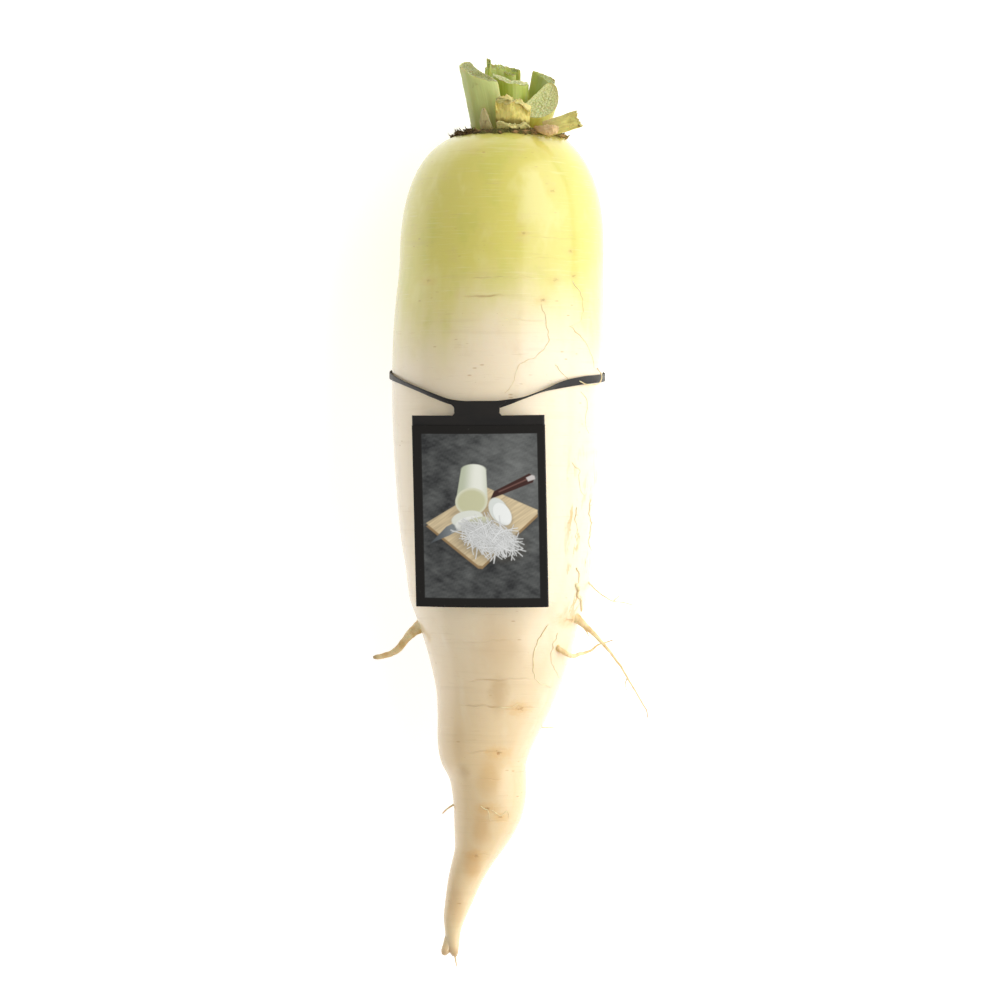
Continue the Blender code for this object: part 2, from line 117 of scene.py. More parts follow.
def add_piece(name, shells, finish, slot, nodes=(), **attributes):
    """One smooth object of closed shells. Each is a grid (rows, columns, 3): its columns go round, its ends are capped.

    Each attribute holds one array for each shell: (rows, columns) of numbers, or (rows, columns, 3 or 4).
    """
    vertices, faces, first = [], [], 0
    for points in shells:
        rows, around = points.shape[:2]
        quads = grid_faces(rows, around, first)
        near = first + np.arange(around)[::-1]
        far = first + (rows - 1) * around + np.arange(around)
        if inside_out(points):
            quads, near, far = quads[:, ::-1], near[::-1], far[::-1]
        faces += quads.tolist() + [near.tolist(), far.tolist()]
        vertices.append(points.reshape(-1, 3))
        first += rows * around
    mesh = bpy.data.meshes.new(name)
    mesh.from_pydata(np.concatenate(vertices), [], faces)
    for key, arrays in attributes.items():
        if key == "ink":
            layer = mesh.attributes.new(key, "FLOAT_COLOR", "POINT").data
            values = np.concatenate([a.reshape(-1, 3) for a in arrays])
            layer.foreach_set("color", np.hstack([values, np.ones((len(values), 1))]).ravel())
        elif arrays[0].ndim == 3:
            layer = mesh.attributes.new(key, "FLOAT_VECTOR", "POINT").data
            layer.foreach_set("vector", np.concatenate([a.reshape(-1, 3) for a in arrays]).ravel())
        else:
            layer = mesh.attributes.new(key, "FLOAT", "POINT").data
            layer.foreach_set("value", np.concatenate([a.ravel() for a in arrays]))
    mesh.shade_smooth()
    mesh.materials.append(finish)
    mesh.update()
    piece = bpy.data.objects.new(name, mesh)
    bpy.context.scene.collection.objects.link(piece)
    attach(piece, "root")
    if nodes:
        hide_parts(*nodes)


def sweep(middles, radii, around):
    """Rings carried along a path: a circle of each radius, square to the path.

    The side direction starts at +Z. It is carried from ring to ring by taking away its part along the path, so it
    doesn't spin.
    """
    ways = unit(np.gradient(middles, axis=0))
    side = np.array([0.0, 0.0, 1.0])
    sides = []
    for way in ways:
        side = unit(side - way * (side @ way))
        sides.append(side)
    sides = np.array(sides)
    ups = np.cross(ways, sides)
    angle = np.arange(around) * TURN / around
    radii = np.reshape(radii, (-1, 1, 1))
    across = np.cos(angle)[None, :, None] * sides[:, None] * radii
    return middles[:, None] + across + np.sin(angle)[None, :, None] * ups[:, None] * radii


# ---------------------------------------------------------------- shader maths


def tint(red, green, blue):
    """Linear colour of display values from 0 to 255."""
    return tuple(((c / 255 + 0.055) / 1.055) ** 2.4 if c > 10 else c / 255 / 12.92 for c in (red, green, blue))


class Value:
    """A number that varies over the surface. Arithmetic on it adds Math nodes."""

    def __init__(self, paint, socket):
        self.paint, self.socket = paint, socket

    def _math(self, operation, *others):
        inputs = dict(enumerate((self, *others)))
        return self.paint.node("ShaderNodeMath", {"operation": operation}, inputs)

    def __add__(self, other):
        return self._math("ADD", other)

    def __sub__(self, other):
        return self._math("SUBTRACT", other)

    def __mul__(self, other):
        return self._math("MULTIPLY", other)

    def __truediv__(self, other):
        return self._math("DIVIDE", other)

    def __neg__(self):
        return self._math("MULTIPLY", -1.0)

    def __abs__(self):
        return self._math("ABSOLUTE")

    def __rsub__(self, other):
        return (-self)._math("ADD", other)

    __radd__, __rmul__ = __add__, __mul__

    def over(self, other):
        return self._math("MAXIMUM", other)

    def rise(self, low, high):
        """0 below low, 1 above high, and an S curve between them; low may be the larger one."""
        settings = {"interpolation_type": "SMOOTHSTEP", "clamp": True}
        ends = (0.0, 1.0)
        if low > high:
            low, high, ends = high, low, (1.0, 0.0)
        inputs = {0: self, 1: low, 2: high, 3: ends[0], 4: ends[1]}
        return self.paint.node("ShaderNodeMapRange", settings, inputs)


def highest(values):
    """The largest of several Values at each place."""
    return functools.reduce(Value.over, values)


class Paint:
    """One material: its Principled shader and the nodes that feed it."""

    def __init__(self, name, **constants):
        self.material = bpy.data.materials.new(name)
        self.material.use_nodes = True
        self.tree = self.material.node_tree
        self.shader = self.tree.nodes["Principled BSDF"]
        for key, value in constants.items():
            self.shader.inputs[key.replace("_", " ")].default_value = value

    def node(self, kind, settings, inputs, output=0):
        """Adds a node: its settings are set first, then each input's value or link. Gives one output as a Value."""
        made = self.tree.nodes.new(kind)
        for key, value in settings.items():
            setattr(made, key, value)
        for key, value in inputs.items():
            self.feed(made.inputs[key], value)
        return Value(self, made.outputs[output])

    def feed(self, socket, value):
        if isinstance(value, Value):
            self.tree.links.new(value.socket, socket)
        elif isinstance(value, (tuple, list)) and len(value) == 3 and socket.type == "RGBA":
            socket.default_value = (*value, 1.0)
        else:
            socket.default_value = value

    def place(self):
        """The model's own coordinates, in millimetres."""
        metres = self.node("ShaderNodeTexCoord", {}, {}, "Object")
        return self.node("ShaderNodeVectorMath", {"operation": "SCALE"}, {0: metres, 3: 1000.0})

    def attribute(self, name, output="Fac"):
        return self.node("ShaderNodeAttribute", {"attribute_name": name}, {}, output)

    def parts(self, vector):
        made = self.tree.nodes.new("ShaderNodeSeparateXYZ")
        self.feed(made.inputs[0], vector)
        return [Value(self, socket) for socket in made.outputs]

    def joined(self, x, y, z=0.0):
        return self.node("ShaderNodeCombineXYZ", {}, {0: x, 1: y, 2: z})

    def noise(self, vector, size, stretch=(1, 1, 1), detail=3.0, roughness=0.5, shift=0.0):
        """Fractal noise from 0 to 1 whose blotches are about this many millimetres across, times the stretch."""
        scale = tuple(1 / (size * s) for s in stretch)
        inputs = {"Vector": vector, "Scale": scale, "Location": (shift, shift * 0.7, shift * 1.3)}
        scaled = self.node("ShaderNodeMapping", {}, inputs)
        inputs = {"Vector": scaled, "Scale": 1.0, "Detail": detail, "Roughness": roughness}
        return self.node("ShaderNodeTexNoise", {}, inputs, "Fac")

    def cells(self, vector, size, stretch=(1, 1, 1)):
        """Distance to the nearest of scattered points that are about this far apart."""
        scale = tuple(1 / (size * s) for s in stretch)
        scaled = self.node("ShaderNodeMapping", {}, {"Vector": vector, "Scale": scale})
        return self.node("ShaderNodeTexVoronoi", {}, {"Vector": scaled, "Scale": 1.0}, "Distance")

    def mix(self, factor, a, b):
        return self.node("ShaderNodeMix", {"data_type": "RGBA"}, {0: factor, 6: a, 7: b}, 2)

    def finish(self, colour, roughness, height, coat=None):
        """Feeds the shader. height is in millimetres of relief."""
        self.feed(self.shader.inputs["Base Color"], colour)
        self.feed(self.shader.inputs["Roughness"], roughness)
        if coat is not None:
            self.feed(self.shader.inputs["Coat Weight"], coat)
        bump = self.node("ShaderNodeBump", {}, {"Height": height, "Distance": MM, "Strength": 1.0})
        self.feed(self.shader.inputs["Normal"], bump)
        return self.material


# ---------------------------------------------------------------- the taproot's shape

FORK_Y = -157 * MM  # beyond it the CAD rings are joined with the second stump
TIP_ROWS = [  # y, sideways place, height and half width of the first stump, down to its broken end
    (-161.0, -22.9, 22.6, 3.35),
    (-165.0, -23.0, 22.1, 2.8),
    (-168.5, -22.8, 21.8, 2.2),
    (-170.8, -22.5, 21.6, 1.6),
    (-172.0, -22.3, 21.5, 0.9),
]
HOLLOW_Y, HOLLOW_HALF_LENGTH, HOLLOW_DEPTH = 57.5 * MM, 12 * MM, 1.4 * MM  # under the belly, for the loop
SKIN_ROWS, SKIN_COLUMNS = 384, 250
DOME_SHARES, DOME_HEIGHT = (0.15, 0.5, 0.8), 0.3 * MM  # rings that close the crown's end
LUMP_HEIGHT = 0.30 * MM
FOLD_HEIGHT = 0.30 * MM  # of the lengthwise folds on the tail
RING_RELIEF = 0.055 * MM

# Ring creases across the top: place along the root, from and to sideways, depth and half width.
CREASES = [
    (104.6, 6, 24, 0.10, 0.5),
    (96.9, 8, 30, 0.08, 0.5),
    (89.3, -15, 8, 0.22, 0.6),
    (82.4, -19, -4, 0.30, 0.6),
    (73.2, -3, 12, 0.20, 0.5),
    (66.0, 14, 30, 0.10, 0.5),
    (-47.5, -20, -2, 0.12, 0.6),
    (-62.4, -17, 6, 0.26, 0.6),
    (-72.8, -19, -5, 0.30, 0.6),
    (-73.6, -3, 9, 0.20, 0.6),
    (-90.5, -17, -3, 0.26, 0.6),
    (-101.5, -14, -4, 0.16, 0.5),
    (-118.0, -12, -2, 0.14, 0.5),
    (-131.5, -17, -9, 0.14, 0.5),
]
# Knots where a side root withered: sideways, along, radius.
KNOTS = [
    (15.0, 122.4, 0.9),
    (4.2, 105.9, 0.7),
    (21.9, 99.7, 1.0),
    (23.1, 90.5, 0.8),
    (16.2, 88.6, 1.1),
    (-31.6, 88.6, 1.0),
    (11.2, 80.9, 0.9),
    (2.3, -73.9, 1.5),
    (-5.4, -90.9, 1.4),
    (-9.2, -112.8, 1.3),
    (-4.6, -116.3, 1.0),
    (-13.9, -131.7, 1.3),
    (-31.0, -22.0, 0.8),
    (21.5, -40.0, 1.6),
]
# Shallow hollows: sideways, along, radius, depth.
DIMPLES = [(-18.9, -99.6, 3.2, 1.5), (-21.5, -91.0, 4.5, 0.5), (12.0, -58.0, 9.0, 0.5), (-6.0, -104.0, 5.0, -0.5)]


def taproot_profile():
    """Rows of y, axis x, axis z and half width from the crown to the tip, read from the rings of the CAD taproot.

    Each ring of that solid lies in one plane across Y. Its two sides give x and the half width, its top gives z.
    """
    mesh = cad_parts["taproot"].data
    spots = np.empty(len(mesh.vertices) * 3, np.float32)
    mesh.vertices.foreach_get("co", spots)
    spots = np.unique(spots.reshape(-1, 3).astype(float).round(7), axis=0)
    levels, counts = np.unique(spots[:, 1].round(5), return_counts=True)
    rows = []
    for level in levels[(counts >= 30) & (levels > FORK_Y)][::-1]:
        ring = spots[np.abs(spots[:, 1] - level) < 2e-5]
        half = np.ptp(ring[:, 0]) / 2
        rows.append((level, ring[:, 0].max() - half, ring[:, 2].max() - half, half))
    return np.array(rows + [tuple(c * MM for c in row) for row in TIP_ROWS])


PROFILE = taproot_profile()
CROWN_Y = PROFILE[0, 0]


def profile_walk(count):
    """Profile rows at even steps along the outline, smoothly through the CAD rings."""
    steps = np.linalg.norm(np.diff(PROFILE[:, [0, 3]], axis=0), axis=1)
    walked = np.concatenate([[0], np.cumsum(steps)])
    return smooth_between(np.linspace(0, walked[-1], count), walked, PROFILE)


FINE_PROFILE = profile_walk(900)


def profile_at(y):
    """The profile's y, axis x, axis z and half width at each y."""
    return [np.interp(-np.asarray(y), -FINE_PROFILE[:, 0], FINE_PROFILE[:, k]) for k in range(4)]


def relief(points, angle):
    """How far the skin stands out: slow lumps, folds along the tail, fine rings, creases, knots and dimples on top."""
    x, y = points[..., 0], points[..., 1]
    top = smooth_step(-0.1, 0.3, np.cos(angle))
    tail = smooth_step(-0.025, -0.06, y)
    out = LUMP_HEIGHT * (1 + tail) * ripple(points, 26 * MM, 3)
    out = out + 0.20 * MM * tail * ripple(points, 11 * MM, 8, stretch=(1.6, 1, 1.6))
    out = out + FOLD_HEIGHT * tail * ripple(points, 9 * MM, 19, stretch=(1, 3.5, 1))
    out = out + RING_RELIEF * ripple(points, 4.5 * MM, 5, stretch=(5, 1, 5))
    out = out + 0.5 * RING_RELIEF * ripple(points, 2.4 * MM, 6, stretch=(8, 1, 8))
    for along, start, end, depth, half in CREASES:
        wander = 0.5 * MM * np.sin(x / (4 * MM) + along)
        window = smooth_step(start - 2, start + 2, x / MM) * smooth_step(end + 2, end - 2, x / MM)
        out = out - top * window * depth * MM * np.exp(-(((y - along * MM - wander) / (1.6 * half * MM)) ** 2))
    for across, along, radius in KNOTS:
        away = np.hypot(x / MM - across, y / MM - along) / radius
        out = out + top * 0.22 * radius * MM * (np.exp(-(away**2) / 3.5) - 1.3 * np.exp(-(away**2) * 2))
    for across, along, radius, depth in DIMPLES:
        away = np.hypot(x / MM - across, y / MM - along) / radius
        out = out - top * depth * MM * np.exp(-(away**2))
    calm = smooth_step(-0.75, -0.95, np.cos(angle))
    calm = calm * (1 - 0.9 * np.exp(-(((y / MM - 50) / 9) ** 2)))
    under_tag = smooth_step(19, 12, np.abs(x / MM + 11)) * smooth_step(48, 40, np.abs(y / MM)) * top
    return out * calm * (1 - 0.95 * under_tag)


def skin_points(rows, angle, lift=0.0):
    """Places on the skin: round sections with relief, flattened and hollowed below.

    rows holds y, axis x, axis z and half width; angle runs from +Z towards +X; lift is extra height off the skin.
    """
    y, axis_x, axis_z, half = np.moveaxis(np.asarray(rows)[..., None, :] + 0 * np.asarray(angle)[..., None], -1, 0)
    sine, cosine = np.sin(angle), np.cos(angle)
    points = np.stack([axis_x + half * sine, y, axis_z + half * cosine], axis=-1)
    thickness = np.clip(half / (38 * MM), 0, 1)
    out = relief(points, angle) * thickness**0.7 + lift
    x = axis_x + (half + out) * sine
    z = np.maximum(axis_z + (half + out) * cosine, lift)
    under = np.clip(-cosine, 0, 1) ** 8
    z = z + HOLLOW_DEPTH * np.exp(-(((y - HOLLOW_Y) / HOLLOW_HALF_LENGTH) ** 2)) * under
    return np.stack([x, y, z], axis=-1)


def on_top(places, lift):
    """Skin places seen from above, from pairs of sideways and along in millimetres; lift is in millimetres."""
    x, y = np.array(places, float).T * MM
    rows = np.stack(profile_at(y), axis=-1)
    angle = np.arcsin(np.clip((x - rows[:, 1]) / rows[:, 3], -0.999, 0.999))
    return skin_points(rows, angle[:, None], np.reshape(lift, (-1, 1)) * MM)[:, 0]


def along_path(points, count):
    """Even steps on a smooth curve through the points, whatever their number of columns."""
    points = np.asarray(points, float)
    walked = np.concatenate([[0], np.cumsum(np.linalg.norm(np.diff(points[:, :3], axis=0), axis=1))])
    return smooth_between(np.linspace(0, walked[-1], count), walked, points)


# ---------------------------------------------------------------- finishes of the root


# Soft brown patches on top of the tail, partly real stains and partly painted shade: the first two also paint
# the shade of the dark band beside the softbox's reflection, and the third paints shade in the deep dimple.
# Columns: sideways, along, half width, half length, strength and colour.
STAINS_AND_PAINTED_SHADE = [
    (-5.0, -50.0, 10.0, 17.0, 0.40, tint(206, 172, 122)),
    (-5.2, -67.5, 4.0, 8.5, 0.52, tint(200, 166, 114)),
    (-18.7, -98.7, 2.8, 3.6, 0.36, tint(178, 146, 98)),
    (-8.6, -99.0, 5.0, 9.0, 0.50, tint(214, 172, 106)),
    (-12.0, -120.0, 4.0, 8.0, 0.48, tint(208, 162, 96)),
    (-15.5, -135.0, 3.6, 8.0, 0.50, tint(208, 160, 94)),
    (-22.0, -150.0, 3.0, 8.0, 0.30, tint(206, 162, 104)),
    (-20.0, -87.0, 2.5, 8.0, 0.25, tint(210, 176, 124)),
]


def skin_finish():
    """Daikon skin: yellow-green on the shoulder, cream below, tan at the tip, with fine rings, dashes and knots."""
    paint = Paint(
        "daikon_skin", Coat_Roughness=0.17, Coat_IOR=1.5, Subsurface_Weight=0.18, Subsurface_Scale=0.004,
        Subsurface_Radius=(1.0, 0.7, 0.35), IOR=1.42,
    )
    place = paint.place()
    x, y, z = paint.parts(place)
    broad = paint.noise(place, 34, stretch=(1, 1.5, 1), detail=2)
    streak = paint.noise(place, 7, stretch=(1, 7, 1), detail=3, shift=4)
    cloud = paint.noise(place, 9, detail=4, roughness=0.6, shift=9)
    hair_lines = paint.noise(place, 0.75, stretch=(22, 1, 22), detail=3, roughness=0.65, shift=2)
    soft_rings = paint.noise(place, 3.2, stretch=(14, 1, 14), detail=2, shift=7)

    shoulder_edge = y + (broad - 0.5) * 40 + (streak - 0.5) * 9 + x.rise(-6.0, -32.0) * 9 + x.rise(22.0, 38.0) * 7
    green = shoulder_edge.rise(58.0, 101.0)
    tail = (y + (broad - 0.5) * 26).rise(-8.0, -100.0)

    colour = paint.mix(tail, tint(241, 224, 192), tint(230, 203, 156))
    colour = paint.mix(green, colour, tint(218, 207, 101))
    colour = paint.mix((y + (cloud - 0.5) * 14).rise(128.0, 150.0) * 0.35, colour, tint(214, 200, 118))
    patch = paint.noise(place, 15, stretch=(1, 1.6, 1), detail=4, roughness=0.55, shift=41)
    colour = paint.mix(patch.rise(0.50, 0.66) * green * 0.45, colour, tint(202, 200, 86))
    colour = paint.mix(patch.rise(0.46, 0.30) * green * 0.45, colour, tint(232, 224, 146))
    light_lines = paint.noise(place, 0.55, stretch=(20, 1, 20), detail=3, shift=51)
    light_lines = light_lines.rise(0.55, 0.72) * patch.rise(0.35, 0.6) * (green * 0.07 + 0.08)
    colour = paint.mix(light_lines, colour, tint(250, 244, 212))
    colour = paint.mix(cloud.rise(0.52, 0.75) * 0.20, colour, tint(214, 186, 140))
    colour = paint.mix(streak.rise(0.55, 0.78) * green * 0.14, colour, tint(190, 192, 92))
    colour = paint.mix(streak.rise(0.42, 0.22) * (1 - green) * 0.20, colour, tint(250, 243, 222))
    colour = paint.mix(soft_rings.rise(0.56, 0.74) * 0.13, colour, tint(196, 168, 118))
    colour = paint.mix(hair_lines.rise(0.60, 0.72) * cloud.rise(0.35, 0.6) * 0.22, colour, tint(188, 156, 104))

    dashes = paint.cells(place, 7.5, stretch=(1.0, 0.30, 1.0)).rise(0.16, 0.05)
    dash_on = paint.noise(place, 13, detail=1, shift=21).rise(0.54, 0.62)
    colour = paint.mix(dashes * dash_on * 0.55, colour, tint(186, 146, 84))
    pores = paint.cells(place, 2.6, stretch=(1.3, 0.8, 1.3)).rise(0.12, 0.02)
    pores = pores * paint.noise(place, 8, shift=31).rise(0.5, 0.62)
    colour = paint.mix(pores * 0.30, colour, tint(180, 150, 92))

    wander = paint.noise(place, 6, stretch=(1, 4, 1), detail=1, shift=12) - 0.5
    lines = []
    for along, start, end, depth, half in CREASES:
        line = abs(y - along + wander * 2.4).rise(half, 0.05)
        line = line * x.rise(start - 2.0, start + 3.0) * x.rise(end + 2.0, end - 3.0)
        lines.append(line * min(1.0, depth * 3.2))
    dark = highest(lines)
    colour = paint.mix(dark * hair_lines.rise(0.42, 0.66) * 0.6, colour, tint(172, 134, 82))

    warm, spots = [], []
    flat_place = paint.joined(x * 0.6, y)
    fray = paint.noise(place, 1.6, stretch=(1.6, 1, 1.6), detail=4, roughness=0.7, shift=61)
    for across, along, radius in KNOTS:
        ends = {0: flat_place, 1: (across * 0.6, along, 0.0)}
        away = paint.node("ShaderNodeVectorMath", {"operation": "DISTANCE"}, ends, "Value")
        away = away + (fray - 0.5) * radius * 3.0
        warm.append(away.rise(radius * 2.8, radius * 0.4))
        spots.append(away.rise(radius * 0.75, radius * -0.2))
    warm, spots = highest(warm) * (1 - green * 0.45), highest(spots) * (1 - green * 0.35)
    colour = paint.mix(warm * 0.52, colour, paint.mix(green, tint(226, 182, 112), tint(222, 188, 98)))
    colour = paint.mix(spots * 0.75, colour, paint.mix(green, tint(176, 124, 64), tint(164, 134, 58)))

    scars = paint.noise(place, 2.2, stretch=(1, 4.5, 1), detail=3, roughness=0.6, shift=17)
    right_side = x.rise(17.0, 25.0) * x.rise(39.0, 32.0) * y.rise(-52.0, -30.0) * y.rise(34.0, 0.0)
    right_side = right_side * z.rise(40.0, 56.0) * paint.noise(place, 12, detail=2, shift=71).rise(0.44, 0.60)
    colour = paint.mix(scars.rise(0.51, 0.59) * right_side * 0.85, colour, tint(212, 164, 78))
    colour = paint.mix(y.rise(-166.0, -172.0) * 0.45, colour, tint(156, 112, 60))

    # Brown patches: real stains, with painted shade in the dark band beside the reflection and in the deep dimple.
    for across, along, half_width, half_length, strength, stain_and_shade in STAINS_AND_PAINTED_SHADE:
        away = paint.joined((x - across) / half_width, (y - along) / half_length)
        away = paint.node("ShaderNodeVectorMath", {"operation": "LENGTH"}, {0: away}, "Value")
        away = away + (cloud - 0.5) * 1.2
        colour = paint.mix(away.rise(1.3, 0.2) * strength, colour, stain_and_shade)

    height = hair_lines * 0.05 + soft_rings * 0.10 + cloud * 0.05
    height = height - dark * 0.16 - spots * 0.20 - pores * 0.04 - dashes * dash_on * 0.05
    roughness = 0.40 + (cloud - 0.5) * 0.20 + dark * 0.2 + spots * 0.25
    coat = 0.95 - tail * 0.1 - dark * 0.3 - cloud.rise(0.45, 0.8) * 0.12
    return paint.finish(colour, roughness, height, coat=coat)


def side_root_finish(name, pale, dark_colour, broken=tint(120, 84, 44)):
    """Thin root skin: pale with darker blotches, darker rings from the local attribute, and a broken end."""
    paint = Paint(name, Coat_Weight=0.15, Coat_Roughness=0.3, Subsurface_Weight=0.15, Subsurface_Scale=0.002)
    place = paint.place()
    local = paint.attribute("local", "Vector")
    along = paint.attribute("along")
    rings = paint.noise(local, 0.8, stretch=(3, 3, 0.5), detail=3)
    blotch = paint.noise(place, 4, detail=3)
    colour = paint.mix(blotch.rise(0.35, 0.7), pale, dark_colour)
    colour = paint.mix(rings.rise(0.55, 0.75) * 0.4, colour, tint(160, 120, 66))
    colour = paint.mix(along.rise(0.90, 1.0) * 0.5, colour, broken)
    return paint.finish(colour, 0.45 + rings * 0.2, rings * 0.12 + blotch * 0.05)


# ---------------------------------------------------------------- root pieces

# Tubes are lists of stations: place and radius. This one is the second stump of the forked tip.
STUMP = [
    (-22.4, -156.5, 23.0, 2.6),
    (-23.6, -162.0, 22.5, 2.1),
    (-25.0, -167.0, 22.0, 1.75),
    (-26.2, -170.6, 21.7, 1.45),
    (-26.6, -171.4, 21.6, 0.9),
]
SIDE_ROOTS = {
    "side_root_left": [
        (-29.0, -38.5, 37.2, 4.6), (-32.6, -40.6, 36.7, 3.6), (-35.6, -42.9, 36.1, 2.55), (-38.6, -45.5, 35.4, 1.85),
        (-41.6, -48.9, 34.3, 1.5), (-44.4, -52.1, 33.0, 1.35), (-47.8, -54.0, 31.9, 1.15), (-51.0, -54.8, 31.1, 1.0),
        (-53.0, -55.1, 30.7, 0.8), (-53.7, -55.2, 30.6, 0.45),
    ],
    "side_root_right_long": [
        (20.0, -36.0, 46.6, 2.9), (23.2, -38.4, 47.4, 2.2), (26.4, -41.0, 47.3, 1.5), (30.0, -44.2, 46.2, 1.0),
        (33.9, -48.1, 43.6, 0.75), (37.4, -52.3, 39.6, 0.58), (41.6, -57.8, 33.0, 0.45), (44.9, -63.2, 26.4, 0.38),
        (48.1, -68.5, 19.6, 0.32), (51.2, -73.9, 12.6, 0.28), (53.1, -77.2, 8.4, 0.24), (53.6, -80.0, 5.4, 0.16),
    ],
    "side_root_right_short": [
        (15.4, -47.6, 53.0, 1.3), (17.4, -50.4, 53.9, 1.15), (19.9, -52.6, 53.0, 0.95), (23.6, -53.9, 48.4, 0.8),
        (27.0, -53.0, 43.4, 0.62), (30.4, -52.0, 40.4, 0.46), (33.0, -50.2, 38.6, 0.36), (36.0, -49.2, 37.2, 0.28),
        (39.0, -48.2, 36.2, 0.18),
    ],
    "hair_root_right_upper": [
        (27.0, -22.5, 49.6, 0.6), (29.4, -25.8, 47.6, 0.42), (32.2, -28.6, 45.4, 0.32), (35.4, -31.2, 42.4, 0.26),
        (39.2, -33.0, 39.4, 0.22), (43.2, -33.9, 37.0, 0.2), (47.2, -34.9, 35.2, 0.14),
    ],
    "hair_root_right_lower": [
        (5.0, -80.6, 37.2, 0.5), (8.4, -81.4, 35.8, 0.3), (12.0, -81.9, 34.9, 0.22), (16.6, -82.4, 33.4, 0.14),
    ],
    "hair_root_left_lower": [
        (-18.6, -109.6, 29.6, 0.8), (-21.6, -111.6, 28.6, 0.45), (-24.0, -113.2, 28.0, 0.34),
        (-26.9, -115.9, 27.0, 0.2),
    ],
    "hair_root_tip": [
        (-22.3, -170.6, 21.6, 0.7), (-22.0, -172.6, 21.4, 0.4), (-21.7, -174.8, 21.1, 0.26),
        (-21.4, -176.2, 21.0, 0.15),
    ],
}
BRANCHES = [  # at the right knot, of the long root, and of the upper hair
    [(26.8, -41.6, 47.0, 0.5), (28.6, -44.6, 45.0, 0.32), (29.6, -46.6, 43.4, 0.15)],
    [(44.9, -63.2, 26.4, 0.26), (44.2, -65.8, 24.4, 0.2), (44.8, -68.4, 22.6, 0.12)],
    [(39.2, -33.0, 39.4, 0.2), (41.0, -31.4, 39.6, 0.16), (43.4, -30.8, 39.2, 0.1)],
]
# Hairs that lie on the skin: (sideways, along) points and radius.
SKIN_HAIRS = [
    ([(24.4, -26.5), (25.0, -30.2), (26.2, -33.4), (26.6, -37.0)], 0.8),
    ([(13.9, -41.2), (11.0, -45.6), (8.9, -50.0), (7.7, -56.0), (8.4, -61.0), (11.2, -64.4), (15.2, -65.8)], 0.24),
    ([(17.6, -44.6), (15.4, -50.2), (15.2, -56.0), (17.2, -60.2), (18.4, -62.6)], 0.2),
    ([(10.8, 79.1), (13.1, 71.6), (12.7, 64.1), (8.6, 59.6), (2.9, 56.6), (-0.1, 49.0), (-2.7, 45.3)], 0.15),
    ([(22.5, 88.5), (25.5, 84.8), (27.0, 79.1), (25.5, 73.5), (22.5, 71.2)], 0.16),
    ([(21.7, 71.6), (26.2, 67.5), (30.0, 61.4), (31.5, 56.2)], 0.18),
    ([(16.1, 56.6), (19.1, 53.6), (21.7, 50.9)], 0.22),
    ([(26.4, 47.0), (28.4, 42.0), (27.6, 36.4), (29.0, 31.0)], 0.15),
    ([(22.6, 20.0), (25.6, 16.6), (25.2, 12.0), (27.4, 7.4)], 0.16),
    ([(30.2, 6.0), (29.2, 0.6), (30.4, -4.6), (29.2, -9.6), (30.0, -13.6)], 0.26),
    ([(24.6, 3.4), (23.8, -1.4), (25.0, -5.6), (24.2, -9.0)], 0.24),
    ([(24.8, -20.0), (25.6, -23.6), (24.6, -27.5)], 0.34),
    ([(-5.4, -73.2), (0.4, -73.0), (4.2, -72.0)], 0.14),
    ([(-8.0, -113.6), (-4.6, -115.4), (-2.0, -114.0), (-0.8, -116.6)], 0.2),
    ([(-12.0, -112.0), (-9.0, -114.2), (-8.4, -117.8)], 0.18),
    ([(-34.6, -3.0), (-36.4, -6.8), (-35.8, -11.0)], 0.16),
]
# The hair that passes over the elastic: sideways, along, lift off the skin.
BAND_HAIR = [
    (24.6, 50.8, 1.0), (26.4, 49.6, 1.9), (29.0, 49.6, 2.2), (31.6, 50.8, 2.2), (32.6, 53.6, 1.6), (32.0, 56.0, 0.5),
]
HAIR_STEPS, HAIR_WANDER, HAIR_LEAST = 40, 0.28, 0.06  # steps, and millimetres


def tube_shell(stations, around=14, steps=60, seed=1, wobble=0.0, roughen=0.10):
    """A tapering tube through stations of place and radius, in millimetres, and its local and along attributes.

    Its middle line wanders sideways by about wobble millimetres, and its radius swells by the share roughen.
    """
    path = along_path(stations, steps)
    middles, radii = path[:, :3] * MM, np.clip(path[:, 3], 0.05, None) * MM
    share = np.linspace(0, 1, steps)
    fade = np.sin(np.pi * share)[:, None] ** 0.5
    drift = np.stack([ripple(middles, 6 * MM, seed + k) for k in (0, 1, 2)], axis=-1)
    middles = middles + wobble * MM * fade * drift
    points = sweep(middles, radii, around)
    swell = 1 + roughen * ripple(points, 2.2 * MM, seed + 5) + 0.5 * roughen * ripple(points, 0.9 * MM, seed + 6)
    points = middles[:, None] + (points - middles[:, None]) * swell[..., None]
    angle = np.arange(around) * TURN / around
    length = np.linalg.norm(np.diff(middles, axis=0), axis=1).sum() / MM
    along = share[:, None] * np.ones((steps, around))
    wide = radii[:, None] / MM
    local = np.stack([np.cos(angle) * wide, np.sin(angle) * wide, along * length], axis=-1)
    return points, local, along


def add_tubes(name, shells, finish, slot, nodes=()):
    points, local, along = zip(*shells)
    add_piece(name, points, finish, slot, nodes, local=local, along=along)


